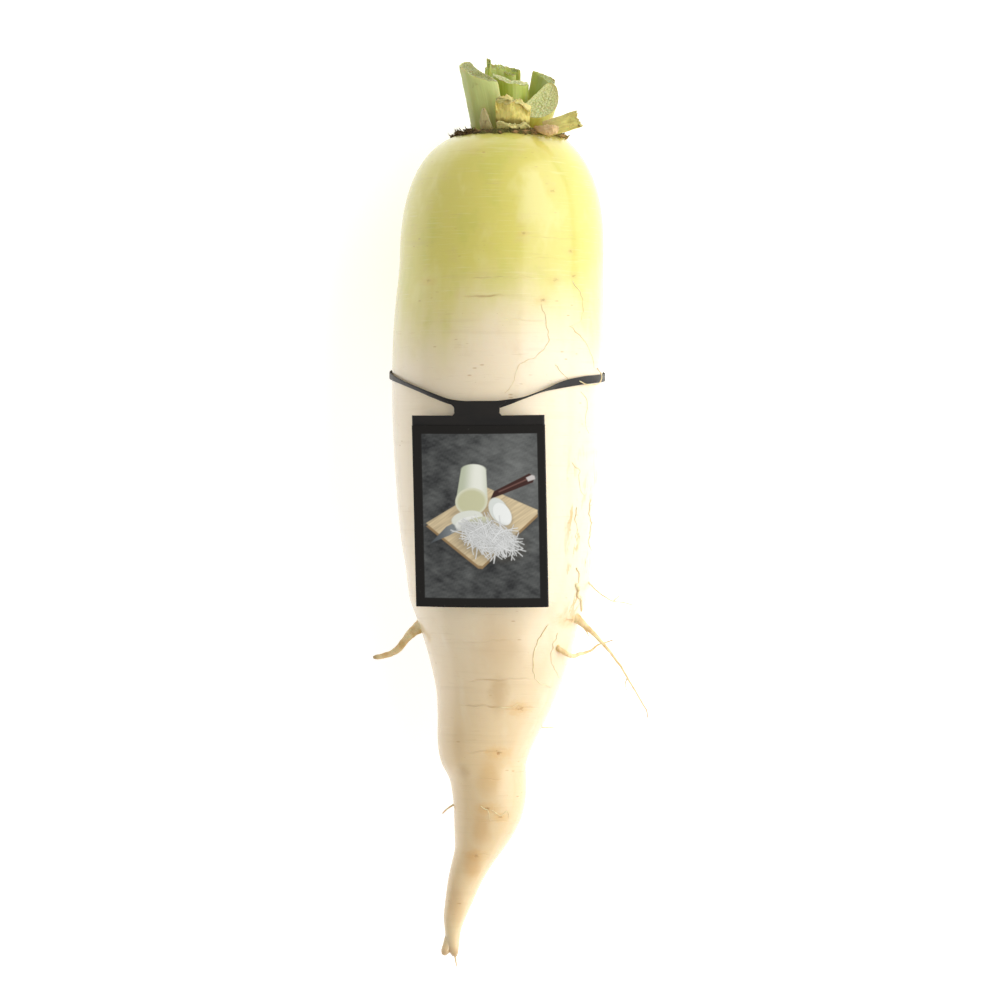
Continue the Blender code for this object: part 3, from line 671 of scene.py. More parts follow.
def make_root():
    """The skin with its forked tip, the side roots and the hairs."""
    angle = np.arange(SKIN_COLUMNS) * TURN / SKIN_COLUMNS
    skin = skin_points(profile_walk(SKIN_ROWS), np.broadcast_to(angle, (SKIN_ROWS, SKIN_COLUMNS)))
    seat = skin[0].mean(axis=0)
    domed = np.array(DOME_SHARES)[:, None, None]
    crown = seat + (skin[0] - seat) * domed
    crown[..., 1] += DOME_HEIGHT * (1 - domed[..., 0])
    skin = np.concatenate([crown, skin])
    stump, _, _ = tube_shell(STUMP, around=24, steps=40, seed=40, roughen=0.05)
    add_piece("daikon_skin", [skin, stump], skin_finish(), "root_skin", ["taproot"])

    thick = side_root_finish("side_root_skin", tint(238, 216, 164), tint(216, 182, 118))
    thin = side_root_finish("hair_root_skin", tint(240, 224, 178), tint(222, 194, 138), tint(186, 152, 100))
    for number, (name, stations) in enumerate(SIDE_ROOTS.items()):
        wobble = 0.22 if stations[0][3] < 2 else 0.12
        shell = tube_shell(stations, 20, 110, seed=60 + number, wobble=wobble, roughen=0.05)
        add_tubes(name + "_fine", [shell], thick if "side" in name else thin, "side_root_skin", [name])
    branches = [tube_shell(s, 8, 24, seed=90 + k, wobble=0.1) for k, s in enumerate(BRANCHES)]
    add_tubes("fine_branches", branches, thin, "side_root_skin")

    hairs = []
    for number, (places, radius) in enumerate(SKIN_HAIRS):
        flat = along_path([(x, y, 0.0) for x, y in places], HAIR_STEPS)
        flat = flat[:, :2] + HAIR_WANDER * np.stack([ripple(flat, 3.0, 200 + number + k) for k in (0, 1)], axis=-1)
        share = np.linspace(0, 1, HAIR_STEPS)
        thin_out = radius * (1 - 0.6 * share) * smooth_step(0, 0.06, share + 0.02) * smooth_step(1.0, 0.9, share - 0.02)
        on_skin = on_top(flat, 0.25 * thin_out) / MM
        stations = np.c_[on_skin, np.clip(thin_out, HAIR_LEAST, None)]
        hairs.append(tube_shell(stations, 8, 60, seed=300 + number, roughen=0.15))
    x, y, lift = np.array(BAND_HAIR).T
    loop = np.c_[on_top(np.c_[x, y], lift) / MM, np.full(len(x), 0.2)]
    hairs.append(tube_shell(loop, 8, 50, seed=333, wobble=0.05))
    add_tubes("skin_hairs", hairs, thin, "side_root_skin")


# ---------------------------------------------------------------- crown

CUT_HEIGHT = 22.6 * MM
CUT_FACING = unit(np.array([0.26, 1.0, 0.45]))
COLLAR_LOW, COLLAR_HIGH = (np.array(corner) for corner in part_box("leaf_scar_collar"))
CROWN_CENTRE = np.array([(COLLAR_LOW[0] + COLLAR_HIGH[0]) / 2, CROWN_Y, (COLLAR_LOW[2] + COLLAR_HIGH[2]) / 2])
CROWN_RADIUS = 19.4 * MM
STALK_COLUMNS, WALL_ROWS, CUT_ROWS = 120, 48, 18

# Angle round the crown (degrees), distance of the middle from the crown's axis, width, thickness, bulge of the
# crescent, outward lean (degrees), how far it stands above the knife cut, raggedness of the rim, and outward bend.
# Angle round the crown from +Z (degrees), distance from its middle, width, thickness, bulge, lean (degrees),
# height of the cut above CUT_HEIGHT, raggedness of the rim, and outward bend.
STALKS = {
    "leaf_stalk_left": (-57, 7.6, 16.5, 7.8, 4.6, 11, 1.0, 0.35, 0.6),
    "leaf_stalk_right": (54, 8.2, 15.5, 10.0, 3.6, 16, -0.8, 0.25, 0.8),
    "leaf_stalk_back_right": (128, 10.2, 12.0, 3.6, 3.4, 13, -1.2, 0.4, 0.3),
    "leaf_stalk_back_left": (-167, 10.2, 12.6, 3.6, 4.0, 5, -3.4, 0.6, 0.4),
    "leaf_stalk_middle": (2, 1.2, 12.5, 4.8, 3.4, 3, -0.4, 0.3, 0.3),
    "leaf_stalk_inner": (186, 4.2, 8.6, 2.6, 2.0, 1, 0.6, 0.7, 0.2),
    "young_leaf_bud": (0, -1.0, 4.2, 2.0, 0.3, 0, 0.4, 0.5, 0.0),
    "young_leaf_spike": (-106, 7.6, 3.6, 1.5, 0.4, 1, 3.4, 0.9, 0.0),
    "young_leaf_side": (108, 5.6, 4.2, 1.4, 0.5, 2, -2.6, 0.6, 0.0),
    "torn_leaf_base": (4, 14.4, 12.5, 2.0, 2.6, 9, -2.8, 1.7, 1.4),
    "small_leaf_scale": (-31, 17.0, 5.4, 0.9, 0.7, 6, -9.6, 0.2, 0.4),
    "back_leaf_scale": (178, 15.9, 7.0, 1.1, 1.4, 12, -25.0, 0.5, 0.4),
}


def stalk_shell(angle, distance, width, thickness, bulge, lean, above, ragged, bend, seed,
                taper=0.0, frill=0.0, rim=None, base=None, ways=None, cut_facing=CUT_FACING):
    """A stalk with a crescent section from its base to the slanting knife cut, and attributes for its finish.

    Round the section, a goes across from -1 to 1: outward = bulge (1 - a squared) plus or minus half the thickness
    times the root of (1 - a squared), with fine ribs on it. The wall follows a straight way with a slight bend, up to
    the cut plane plus the rim's raggedness. The cut face is the same section shrunk to its middle, sunk and roughened.
    """
    turn = np.arange(STALK_COLUMNS) * TURN / STALK_COLUMNS
    if ways is None:
        turned, tilt = math.radians(angle), math.radians(lean)
        outward = np.array([math.sin(turned), 0, math.cos(turned)])
        across = np.array([math.cos(turned), 0, -math.sin(turned)])
        way = outward * math.sin(tilt) + np.array([0, math.cos(tilt), 0])
        base = CROWN_CENTRE + outward * distance * MM
    else:
        across, outward, way = ways
    share = np.concatenate([np.linspace(0, 1, WALL_ROWS), np.ones(CUT_ROWS)])[:, None]
    shrink = np.concatenate([np.ones(WALL_ROWS), np.linspace(0.985, 0.05, CUT_ROWS)])[:, None]
    cut = (np.arange(WALL_ROWS + CUT_ROWS) >= WALL_ROWS)[:, None] * np.ones(STALK_COLUMNS)
    a, b = shrink * np.cos(turn), shrink * np.sin(turn)
    ring = np.stack([np.cos(turn), np.sin(turn), 0 * turn], axis=-1)
    ribs = 0.012 * np.cos(19 * turn + seed) + 0.010 * np.cos(31 * turn + 2 * seed)
    sideways = width / 2 * a * (1 + 0.10 * share) * (1 - taper * share**1.6)
    out = bulge * (1 - (a * 0.98) ** 2) + thickness / 2 * b * (1 + ribs * shrink + 0.10 * share)
    sideways = sideways * (1 - 0.05 * smooth_step(0.965, 1.0, share) * (shrink > 0.99))
    fold = np.stack(np.broadcast_arrays(np.cos(turn), np.sin(turn), 1.7 * share), axis=-1)
    frilled = frill * share**1.5 * (ripple(fold, 1.1, seed + 3) + 0.6 * ripple(fold, 0.5, seed + 4))
    start = base + (sideways[..., None] * across + (out + frilled)[..., None] * outward) * MM
    if ways is None:
        top = CROWN_CENTRE + np.array([0, CUT_HEIGHT + above * MM, 0])
        facing = cut_facing
    else:
        top = base + way * above * MM
        facing = way
    length = (top - start) @ facing / (way @ facing)
    uneven = ragged * (0.6 * ripple(ring, 0.8, seed) + 0.4 * ripple(ring, 0.22, seed + 1))
    length = length + MM * (uneven * smooth_step(0.2, 1.0, shrink))
    if rim is not None:
        length = length + MM * rim(a, b) * smooth_step(0.0, 0.9, shrink)
    points = start + share[..., None] * length[..., None] * way + bend * MM * (share**2)[..., None] * outward
    sunk = (1 - shrink**2) ** 0.8 * 0.10 * thickness
    rough = 0.16 * ripple(points, 1.0 * MM, seed + 7) + 0.10 * ripple(points, 0.45 * MM, seed + 8)
    points = points + (cut * (rough * (1 - shrink**8) - sunk) * MM)[..., None] * facing
    points = points + (0.10 * MM * (1 - cut) * ripple(points, 5 * MM, seed + 9) * share)[..., None] * outward
    local = np.stack([sideways, out, share * length / MM], axis=-1)
    return points, local, np.broadcast_to(share, cut.shape), cut, np.broadcast_to(shrink, cut.shape)


def stalk_finish(name, low, high, cut_pale, cut_dark, vein=0.5, brown=0.15, gloss=0.35):
    """Leaf stalk: lengthwise streaks on the wall, and a wet fibrous cut face with dots of veins and browned spots."""
    paint = Paint(name, Coat_Roughness=0.2, Coat_Weight=gloss, Subsurface_Weight=0.2, Subsurface_Scale=0.003)
    place = paint.place()
    local = paint.attribute("local", "Vector")
    along, cut, rim = paint.attribute("along"), paint.attribute("cut"), paint.attribute("rim")
    streak = paint.noise(local, 0.7, stretch=(1, 1, 30), detail=3)
    wide_streak = paint.noise(local, 2.6, stretch=(1, 1, 14), detail=2, shift=3)
    cloud = paint.noise(place, 3.2, detail=3, shift=5)
    wall = paint.mix((along + (wide_streak - 0.5) * 0.7).rise(0.05, 0.85), low, high)
    wall = paint.mix(streak.rise(0.55, 0.78) * 0.20, wall, tint(214, 222, 150))
    wall = paint.mix(streak.rise(0.44, 0.28) * 0.18, wall, low)
    wall = paint.mix(cloud.rise(0.6, 0.78) * brown, wall, tint(138, 112, 46))

    grain = paint.noise(place, 0.55, detail=3, roughness=0.7, shift=11)
    dots = paint.cells(place, 1.25).rise(0.34, 0.16)
    face = paint.mix(grain.rise(0.35, 0.65), cut_dark, cut_pale)
    face = paint.mix(dots * vein, face, tint(232, 236, 190))
    face = paint.mix(paint.cells(place, 2.1).rise(0.16, 0.08) * 0.6, face, cut_dark)
    face = paint.mix(cloud.rise(0.58, 0.72) * brown * 2.0, face, tint(132, 104, 44))
    face = paint.mix(rim.rise(0.86, 0.97) * 0.65, face, paint.mix(grain, tint(150, 162, 72), tint(206, 212, 140)))
    colour = paint.mix(cut, wall, face)
    height = (streak * 0.07 + wide_streak * 0.12) * (1 - cut) + (grain * 0.30 + dots * 0.12) * cut
    return paint.finish(colour, 0.42 + grain * 0.22 - cut * 0.05, height)


def dry_finish(name, pale, deep, brown, edge=0.5, painted_hollow_shade=0.0):
    """Withered leaf base: lengthwise wrinkles, brown spots and a browned torn edge, and painted shade of the given
    strength darkening its lower part, for the hollow behind a torn lip.
    """
    paint = Paint(name, Coat_Weight=0.08, Coat_Roughness=0.35, Subsurface_Weight=0.15, Subsurface_Scale=0.002)
    place = paint.place()
    local = paint.attribute("local", "Vector")
    along, cut = paint.attribute("along"), paint.attribute("cut")
    wrinkle = paint.noise(local, 0.55, stretch=(1, 1, 9), detail=4, roughness=0.6)
    cloud = paint.noise(place, 2.2, detail=4, roughness=0.65, shift=8)
    colour = paint.mix((along + (cloud - 0.5) * 0.6).rise(0.0, 0.6), deep, pale)
    colour = paint.mix(wrinkle.rise(0.45, 0.7) * 0.5, colour, deep)
    colour = paint.mix(cloud.rise(0.58, 0.70) * 0.55, colour, brown)
    colour = paint.mix(paint.cells(place, 1.1).rise(0.16, 0.08) * cloud.rise(0.42, 0.56) * 0.7, colour, brown)
    colour = paint.mix((along + (wrinkle - 0.5) * 0.16).rise(0.93, 1.0) * edge, colour, brown)
    colour = paint.mix(cut * 0.5, colour, paint.mix(wrinkle, pale, tint(236, 226, 170)))
    # Painted shade: dark olive over the lower part, for the shadowed hollow between the torn base and its lip.
    colour = paint.mix((along + (cloud - 0.5) * 0.2).rise(0.46, 0.30) * painted_hollow_shade, colour, tint(112, 98, 26))
    return paint.finish(colour, 0.55 + cloud * 0.25, wrinkle * 0.35 + cloud * 0.2)


def add_stalk(name, shell, finish, slot, nodes=()):
    points, local, along, cut, rim = shell
    add_piece(name, [points], finish, slot, nodes, local=[local], along=[along], cut=[cut], rim=[rim])


SCALE_ROWS, SCALE_SIDES = 6, 5


def fringe_shell(random, count, degrees, length, radius, lift, flat):
    """Many small pointed scales round the crown as one array: each a flattened cone, bent up or out from the ring.

    A scale's middle runs out from its root along its own way, curls towards +Y, and thins to a point.
    """
    angle = np.radians(random.uniform(*degrees, count))
    reach = CROWN_RADIUS * random.uniform(0.99, 1.16, count)
    root = np.stack([np.sin(angle), 0 * angle, np.cos(angle)], axis=-1)
    base = CROWN_CENTRE + root * reach[:, None]
    base[:, 1] += (0.3 - 11.0 * (reach / CROWN_RADIUS - 1)) * MM
    around_way = np.stack([np.cos(angle), 0 * angle, -np.sin(angle)], axis=-1)
    lean = random.uniform(-1.2, 1.2, (count, 1))
    way = root * random.uniform(0.1, 1.0, (count, 1)) + around_way * lean
    way = unit(way + np.array([0, 1, 0]) * random.uniform(*lift, (count, 1)))
    side = unit(np.cross(way, root + 0.01))
    up = np.cross(way, side)
    share = np.linspace(0, 1, SCALE_ROWS)
    size = random.uniform(*length, count) * MM
    curl = random.uniform(-0.5, 0.9, count)
    middle = base[:, None] + share[:, None] * size[:, None, None] * way[:, None]
    middle = middle + (share**2)[:, None] * (size * curl)[:, None, None] * 0.5 * np.array([0, 0.5, 0.5])
    thin = radius * random.uniform(0.5, 1.3, count)[:, None] * (1 - share**1.3 * 0.92) * MM
    round_way = np.arange(SCALE_SIDES) * TURN / SCALE_SIDES
    ring = (np.cos(round_way)[:, None] * side[:, None, None] * random.uniform(1.0, flat, (count, 1, 1, 1))
            + np.sin(round_way)[:, None] * up[:, None, None])
    return middle[:, :, None] + thin[..., None, None] * ring


def fibre_finish():
    """Dry brown scar fibres, some nearly black, some pale straw, a few green."""
    paint = Paint("leaf_scar_fibre", Coat_Weight=0.0)
    place = paint.place()
    x = paint.parts(place)[0]
    grain = paint.noise(place, 0.9, detail=4, roughness=0.7)
    patch = paint.noise(place, 2.6, detail=2, shift=6)
    colour = paint.mix(grain.rise(0.35, 0.65), tint(52, 34, 8), tint(112, 84, 34))
    colour = paint.mix((patch + x.rise(-4.0, 18.0) * 0.16).rise(0.56, 0.70), colour, tint(176, 138, 86))
    colour = paint.mix((patch - x.rise(-18.0, -6.0) * 0.2).rise(0.42, 0.28) * 0.6, colour, tint(104, 108, 40))
    return paint.finish(colour, 0.8, grain * 0.4)


def make_scar_ring():
    """The rough ring itself, and the scales and fibres that stand on it."""
    rows, columns = 16, 260
    random = np.random.default_rng(11)
    turn = np.arange(columns) * TURN / columns
    loop = np.arange(rows + 1) * TURN / rows
    circle = np.stack([np.sin(turn), 0 * turn, np.cos(turn)], axis=-1)
    swell = 1 + 0.32 * ripple(circle, 0.32, 21) + 0.22 * ripple(circle, 0.11, 22)
    radial = CROWN_RADIUS / MM + 1.0 + 1.6 * np.cos(loop)[:, None] * swell - 0.25 * ripple(circle, 0.6, 23)
    height = -0.35 - 0.45 * (radial - 19.5) + 0.55 * np.sin(loop)[:, None] * swell
    ring = CROWN_CENTRE + (radial[..., None] * circle + height[..., None] * np.array([0, 1, 0])) * MM
    ring = ring + (0.14 * MM * ripple(ring, 0.8 * MM, 24))[..., None] * np.array([0, 1, 0.4])
    ring = np.swapaxes(ring[:-1], 0, 1)
    ring = np.concatenate([ring, ring[:1]])
    groups = [
        fringe_shell(random, 420, (-180, 180), (0.7, 2.0), 0.18, (-0.45, 0.25), 2.2),
        fringe_shell(random, 60, (-85, -40), (1.0, 2.8), 0.26, (-0.1, 1.0), 2.6),
        fringe_shell(random, 110, (15, 75), (1.4, 3.6), 0.22, (-0.8, 0.1), 2.0),
        fringe_shell(random, 60, (-180, 180), (1.4, 3.2), 0.09, (-0.4, 0.5), 1.2),
    ]
    scales = [scale for group in groups for scale in group]
    add_piece("leaf_scar_ring", [ring[:-1]] + scales, fibre_finish(), "leaf_scar", ["leaf_scar_collar"])


def make_crown():
    """All the stalks, young leaves, torn leaf bases and scales."""
    greens = {
        "leaf_stalk_left": stalk_finish(
            "stalk_left", tint(168, 172, 88), tint(190, 198, 118), tint(172, 176, 96), tint(112, 116, 38), 0.25, 0.4),
        "leaf_stalk_middle": stalk_finish(
            "stalk_middle", tint(98, 116, 16), tint(160, 172, 58), tint(224, 226, 172), tint(170, 178, 96), 0.6, 0.08),
        "leaf_stalk_right": stalk_finish(
            "stalk_right", tint(170, 156, 44), tint(192, 186, 74), tint(220, 220, 152), tint(178, 182, 98), 0.5, 0.05),
    }
    back = stalk_finish(
        "stalk_back", tint(118, 132, 28), tint(164, 176, 66), tint(186, 196, 106), tint(108, 124, 30), 0.4, 0.2)
    # The last number, 0.85, is the strength of the painted shade in the hollow behind the torn lip.
    dry = dry_finish("torn_leaf", tint(230, 216, 122), tint(196, 176, 78), tint(134, 108, 40), 0.3, 0.85)
    scale = dry_finish("leaf_scale", tint(196, 184, 124), tint(148, 132, 72), tint(110, 84, 44))

    def left_rim(a, b):
        """The thick midrib peaks near the middle of the left stalk's outer side."""
        return 1.5 * hump(a, 0.05, 0.20) * smooth_step(0.1, 0.8, b) - 0.6 * hump(a, -0.45, 0.3)

    def lip_rim(a, b):
        """Sagging in the middle, with a low peak at the right."""
        return 1.3 * hump(a, 0.55, 0.25) - 1.4 * hump(a, -0.1, 0.4) - 1.2 * np.abs(a) ** 4

    for number, (name, row) in enumerate(STALKS.items()):
        extra = {}
        if name == "torn_leaf_base":
            extra = {"frill": 1.0, "rim": lambda a, b: 0.5 * np.sin(5 * a + 1) - 2.2 * np.abs(a) ** 3}
        elif name == "small_leaf_scale":
            extra = {"rim": lambda a, b: -6.5 * np.abs(a)}
        elif name == "young_leaf_spike":
            extra = {"taper": 0.55, "rim": lambda a, b: -3.0 * np.abs(a) ** 1.2}
        elif name == "leaf_stalk_left":
            extra = {"rim": left_rim}
        elif name == "leaf_stalk_right":
            extra = {"cut_facing": unit(np.array([0.05, 0.80, 0.95]))}
        elif "back" in name:
            extra = {"frill": 0.18}
        shell = stalk_shell(*row, seed=500 + 13 * number, **extra)
        finish = greens.get(name, scale if "scale" in name else dry if "torn" in name else back)
        slot = "dry_leaf" if "scale" in name or "torn" in name else "leaf_stalk"
        add_stalk(name + "_fine", shell, finish, slot, [name])

    lip = stalk_shell(5, 16.9, 12.6, 1.0, 1.9, 20, -11.4, 0.5, 0.6, seed=777, frill=0.4, rim=lip_rim)
    lip_finish = dry_finish("torn_leaf_lip", tint(232, 220, 140), tint(206, 188, 100), tint(150, 120, 56), 0.2)
    add_stalk("torn_leaf_lip", lip, lip_finish, "dry_leaf")
    make_dry_stub(dry_finish("dry_stub", tint(212, 202, 112), tint(176, 152, 84), tint(122, 86, 44), 0.35))


def make_dry_stub(finish):
    """The withered stalk over the shoulder: a trough whose rolled root end shows beside it."""
    way, outward = unit(np.array([0.955, 0.285, 0.04])), np.array([-0.12, 0.20, 0.97])
    outward = unit(outward - way * (outward @ way))
    ways = (np.cross(way, outward), outward, way)
    base = np.array([12.2, 146.4, 61.4]) * MM
    shell = stalk_shell(0, 0, 6.4, 2.4, 1.5, 0, 13.2, 1.0, 0.0, seed=901, frill=0.55, base=base, ways=ways)
    add_stalk("dry_leaf_stub_fine", shell, finish, "dry_leaf", ["dry_leaf_stub"])
    roll = [
        (8.6, 147.2, 60.6, 0.7), (11.0, 146.4, 62.4, 1.4), (13.4, 146.0, 63.4, 1.9), (15.8, 146.4, 63.6, 1.8),
        (17.6, 147.0, 63.2, 0.9),
    ]
    inner = dry_finish("rolled_leaf_end", tint(214, 182, 128), tint(178, 138, 88), tint(120, 80, 44), 0.2)
    points, local, along = tube_shell(roll, 26, 60, seed=930, roughen=0.12)
    add_piece("rolled_leaf_root", [points], inner, "dry_leaf", local=[local], along=[along], cut=[along * 0])


# ---------------------------------------------------------------- tag and elastic loop

TAG_CENTRE = np.array([-12.5, 1.4, 77.5])
TAG_ROLL, TAG_PITCH = math.radians(11.5), math.radians(6.2)
TAG_CURL_RADIUS = 150.0
TAG_WIDTH, TAG_LENGTH, TAG_HEADER = 50.8, 72.4, 3.4
CARD_TOP = TAG_LENGTH / 2 - TAG_HEADER - 0.3
CARD_OFF, CARD_THICKNESS, FILM_THICKNESS = 0.625, 0.25, 0.36
PRINT_COLUMNS, REAR_COLUMNS = 224, 8
BLACK_INK = (21, 18, 14)
PRINT_LEFT, PRINT_RIGHT, PRINT_LOW, PRINT_HIGH = -21.7, 22.6, -32.7, 29.4  # the picture's edges on the card


def tag_place(across, up, off):
    """Place in metres of a point across and up the tag's face from its centre, and off its middle, in millimetres."""
    right = np.array((math.cos(TAG_ROLL), 0, math.sin(TAG_ROLL)))
    facing = np.array((-math.sin(TAG_ROLL), 0, math.cos(TAG_ROLL)))
    head = np.array((0, math.cos(TAG_PITCH), 0)) + facing * math.sin(TAG_PITCH)
    facing = facing * math.cos(TAG_PITCH) - np.array((0, math.sin(TAG_PITCH), 0))
    off = off - across**2 / (2 * TAG_CURL_RADIUS)
    return (TAG_CENTRE + across[..., None] * right + up[..., None] * head + off[..., None] * facing) * MM


def slab(half_width, ups, off, thickness, front, round_edge=0.12):
    """A thin bent sheet as a closed grid: each row goes across the front and back across the rear.

    half_width may change from row to row. front is the number of columns on the printed side.
    """
    share = np.concatenate([np.linspace(-1, 1, front), [1.0], np.linspace(1, -1, REAR_COLUMNS), [-1.0]])
    level = np.concatenate([np.full(front, 0.5), [0.0], np.full(REAR_COLUMNS, -0.5), [0.0]])
    pull = np.where((np.abs(share) > 0.9999) & (level != 0), round_edge, 0.0)
    across = share * np.broadcast_to(half_width, ups.shape)[:, None] - np.sign(share) * pull
    ups = np.broadcast_to(ups[:, None], across.shape)
    return tag_place(across, ups, off + level * thickness), across, ups


def soft_inside(distance, blur=0.22):
    """1 inside an outline and 0 outside it, over a soft edge."""
    return smooth_step(blur, -blur, distance)


def polygon(x, y, corners):
    """How far outside a convex outline each place is: the largest distance beyond any of its sides."""
    corners = np.array(corners, float)
    ends = np.roll(corners, -1, axis=0)
    normal = unit(np.stack([(ends - corners)[:, 1], -(ends - corners)[:, 0]], axis=-1))
    middle = corners.mean(axis=0)
    normal *= np.sign(np.sum((corners - middle) * normal, axis=1))[:, None]
    beyond = (x[..., None] - corners[:, 0]) * normal[:, 0] + (y[..., None] - corners[:, 1]) * normal[:, 1]
    return np.max(beyond, axis=-1)


def ellipse(x, y, middle, halves, degrees=0.0):
    """About how far outside an ellipse each place is."""
    turned = math.radians(degrees)
    dx, dy = x - middle[0], y - middle[1]
    u = (dx * math.cos(turned) + dy * math.sin(turned)) / halves[0]
    v = (-dx * math.sin(turned) + dy * math.cos(turned)) / halves[1]
    return (np.hypot(u, v) - 1) * min(halves)


def stroke(x, y, start, bend, end, half):
    """How far outside a curved stroke each place is, from four straight pieces of a quadratic curve."""
    t = np.linspace(0, 1, 5)[:, None]
    line = (1 - t) ** 2 * np.array(start) + 2 * t * (1 - t) * np.array(bend) + t**2 * np.array(end)
    nearest = np.full(x.shape, 99.0)
    for a, b in zip(line, line[1:]):
        run = b - a
        share = np.clip(((x - a[0]) * run[0] + (y - a[1]) * run[1]) / (run @ run), 0, 1)
        nearest = np.minimum(nearest, np.hypot(x - a[0] - share * run[0], y - a[1] - share * run[1]))
    return nearest - half


def lay(ink, cover, colour):
    """Paints a colour, or one colour for each place, over the ink where cover is 1."""
    return ink + cover[..., None] * (np.asarray(colour) - ink)


def tag_print(x, y):
    """Colours of the card's front: a black border round a kitchen picture of the maker's own.

    A tilted wooden board on dark slate carries a piece of radish, two slices, a knife and a heap of cut shreds.
    """
    flat = np.stack([x, y, 0 * x], axis=-1)
    blotch = 0.32 + 0.14 * ripple(flat, 12, 71) + 0.10 * ripple(flat, 3.6, 72) + 0.07 * ripple(flat, 1.2, 73)
    light = smooth_step(34, -8, np.hypot(x - 16, y - 12)) * 0.75
    dark, pale = np.array(tint(44, 45, 46)), np.array(tint(112, 114, 112))
    slate = dark + np.clip(blotch + light, 0, 1.3)[..., None] * (pale - dark)
    ink = slate * (1 + 0.05 * ripple(flat, 0.5, 74))[..., None]

    board = [(-20.6, -4.4), (3.0, 9.4), (22.2, 0.6), (22.2, -0.8), (1.0, -20.4), (-0.6, -20.2)]
    ink = lay(ink, 0.55 * soft_inside(polygon(x + 0.6, y + 1.6, board), 1.6), tint(20, 19, 18))
    ink = lay(ink, soft_inside(polygon(x, y + 1.2, board)), tint(156, 128, 90))
    grain = ripple(np.stack([x * 0.82 + y * 0.57, (y * 0.82 - x * 0.57) * 9, 0 * x], axis=-1), 9, 81)
    wood = np.array(tint(214, 194, 156)) * (1 + 0.10 * grain[..., None])
    ink = lay(ink, soft_inside(polygon(x, y, board)), wood)

    ink = lay(ink, 0.35 * soft_inside(ellipse(x, y, (-0.5, 0.5), (8.5, 3.6), 8), 1.8), tint(96, 74, 44))
    blade = [(-19.0, -12.0), (-12.6, -5.6), (-6.2, -2.6), (-5.4, -5.4), (-11.6, -9.0)]
    steel = lay(np.array(tint(82, 88, 92)), smooth_step(-19, -6, x), tint(150, 156, 158))
    ink = lay(ink, soft_inside(polygon(x, y, blade)), steel)
    handle = [(4.6, 4.8), (6.0, 7.8), (19.4, 14.4), (21.4, 13.2), (20.8, 11.0)]
    ink = lay(ink, soft_inside(polygon(x, y, handle)), tint(64, 36, 30))
    ink = lay(ink, 0.8 * soft_inside(stroke(x, y, (8.0, 7.6), (13.6, 10.0), (19.0, 12.4), 0.22)), tint(128, 92, 84))
    pommel = [(18.2, 12.8), (19.0, 11.4), (21.6, 12.2), (21.4, 13.4), (20.4, 13.8)]
    ink = lay(ink, soft_inside(polygon(x, y, pommel)), tint(206, 200, 196))

    body = [(-8.8, 3.2), (-6.4, 15.8), (3.2, 16.0), (3.6, 4.2)]
    side_light = smooth_step(-7.5, -2.0, x - 0.1 * y) * smooth_step(6.0, 0.5, x)
    flesh = lay(np.array(tint(196, 202, 176)), side_light, tint(242, 243, 230))
    end = ellipse(x, y, (-1.6, 15.8), (4.8, 2.2))
    ink = lay(ink, soft_inside(np.minimum(polygon(x, y, body), end)), flesh)
    ink = lay(ink, soft_inside(ellipse(x, y, (-2.7, 3.9), (6.2, 5.2), 8)), tint(226, 226, 200))
    ink = lay(ink, soft_inside(ellipse(x, y, (-2.7, 3.8), (5.4, 4.5), 8), 0.6), tint(208, 207, 168))
    for middle, halves, degrees, colour in (
        ((-4.4, -2.6), (6.2, 3.0), 10, (232, 234, 222)),
        ((-2.2, -4.6), (7.0, 3.0), 6, (244, 245, 238)),
        ((0.0, -3.6), (4.6, 1.7), 10, (214, 215, 186)),
        ((7.6, 0.6), (3.4, 5.0), 26, (226, 230, 224)),
        ((9.0, -0.8), (3.1, 4.6), 30, (246, 248, 244)),
    ):
        ink = lay(ink, 0.4 * soft_inside(ellipse(x - 0.3, y + 0.5, middle, halves, degrees), 0.8), tint(70, 66, 56))
        ink = lay(ink, soft_inside(ellipse(x, y, middle, halves, degrees)), tint(*colour))

    random = np.random.default_rng(5)
    heap = (4.4, -9.6)
    ink = lay(ink, 0.5 * soft_inside(ellipse(x, y, (heap[0], heap[1] - 1.6), (13.0, 7.0), -12), 2.2), tint(88, 82, 70))
    ink = lay(ink, 0.85 * soft_inside(ellipse(x, y, heap, (9.4, 4.8), -14), 1.8), tint(206, 208, 202))
    for _ in range(230):
        angle = random.uniform(0, TURN)
        reach = math.sqrt(random.uniform(0, 1))
        rise = 5.4 * math.sin(angle) - 1.6 * math.cos(angle)
        middle = np.array([heap[0] + 10.4 * reach * math.cos(angle), heap[1] + rise * reach])
        way = random.normal(-0.9, 0.75)
        length = random.uniform(1.8, 5.4)
        run = length * np.array([math.cos(way), math.sin(way)])
        bow = random.uniform(-1.4, 1.4) * np.array([-math.sin(way), math.cos(way)])
        away = stroke(x, y, middle - run, middle + bow, middle + run, random.uniform(0.10, 0.17))
        ink = lay(ink, 0.35 * soft_inside(away - 0.12, 0.2), tint(120, 120, 112))
        ink = lay(ink, soft_inside(away, 0.16), np.array(tint(250, 251, 250)) * random.uniform(0.72, 1.0))

    beyond = np.max([PRINT_LEFT - x, x - PRINT_RIGHT, PRINT_LOW - y, y - PRINT_HIGH], axis=0)
    return lay(np.broadcast_to(tint(*BLACK_INK), ink.shape), soft_inside(beyond, 0.14), ink)


def card_finish(name):
    """Coated card: the printed colours from the mesh, under a soft gloss with faint waves and dust."""
    paint = Paint(name, Coat_Weight=0.15, Coat_Roughness=0.25, Specular_IOR_Level=0.2)
    place = paint.place()
    fine = paint.noise(place, 0.5, detail=2)
    wide = paint.noise(place, 12, detail=2, shift=3)
    ink = paint.attribute("ink", "Color")
    colour = paint.mix(paint.noise(place, 0.9, detail=3, shift=9).rise(0.66, 0.8) * 0.06, ink, tint(200, 196, 186))
    return paint.finish(colour, 0.42 + wide * 0.12, fine * 0.02 + wide * 0.10)


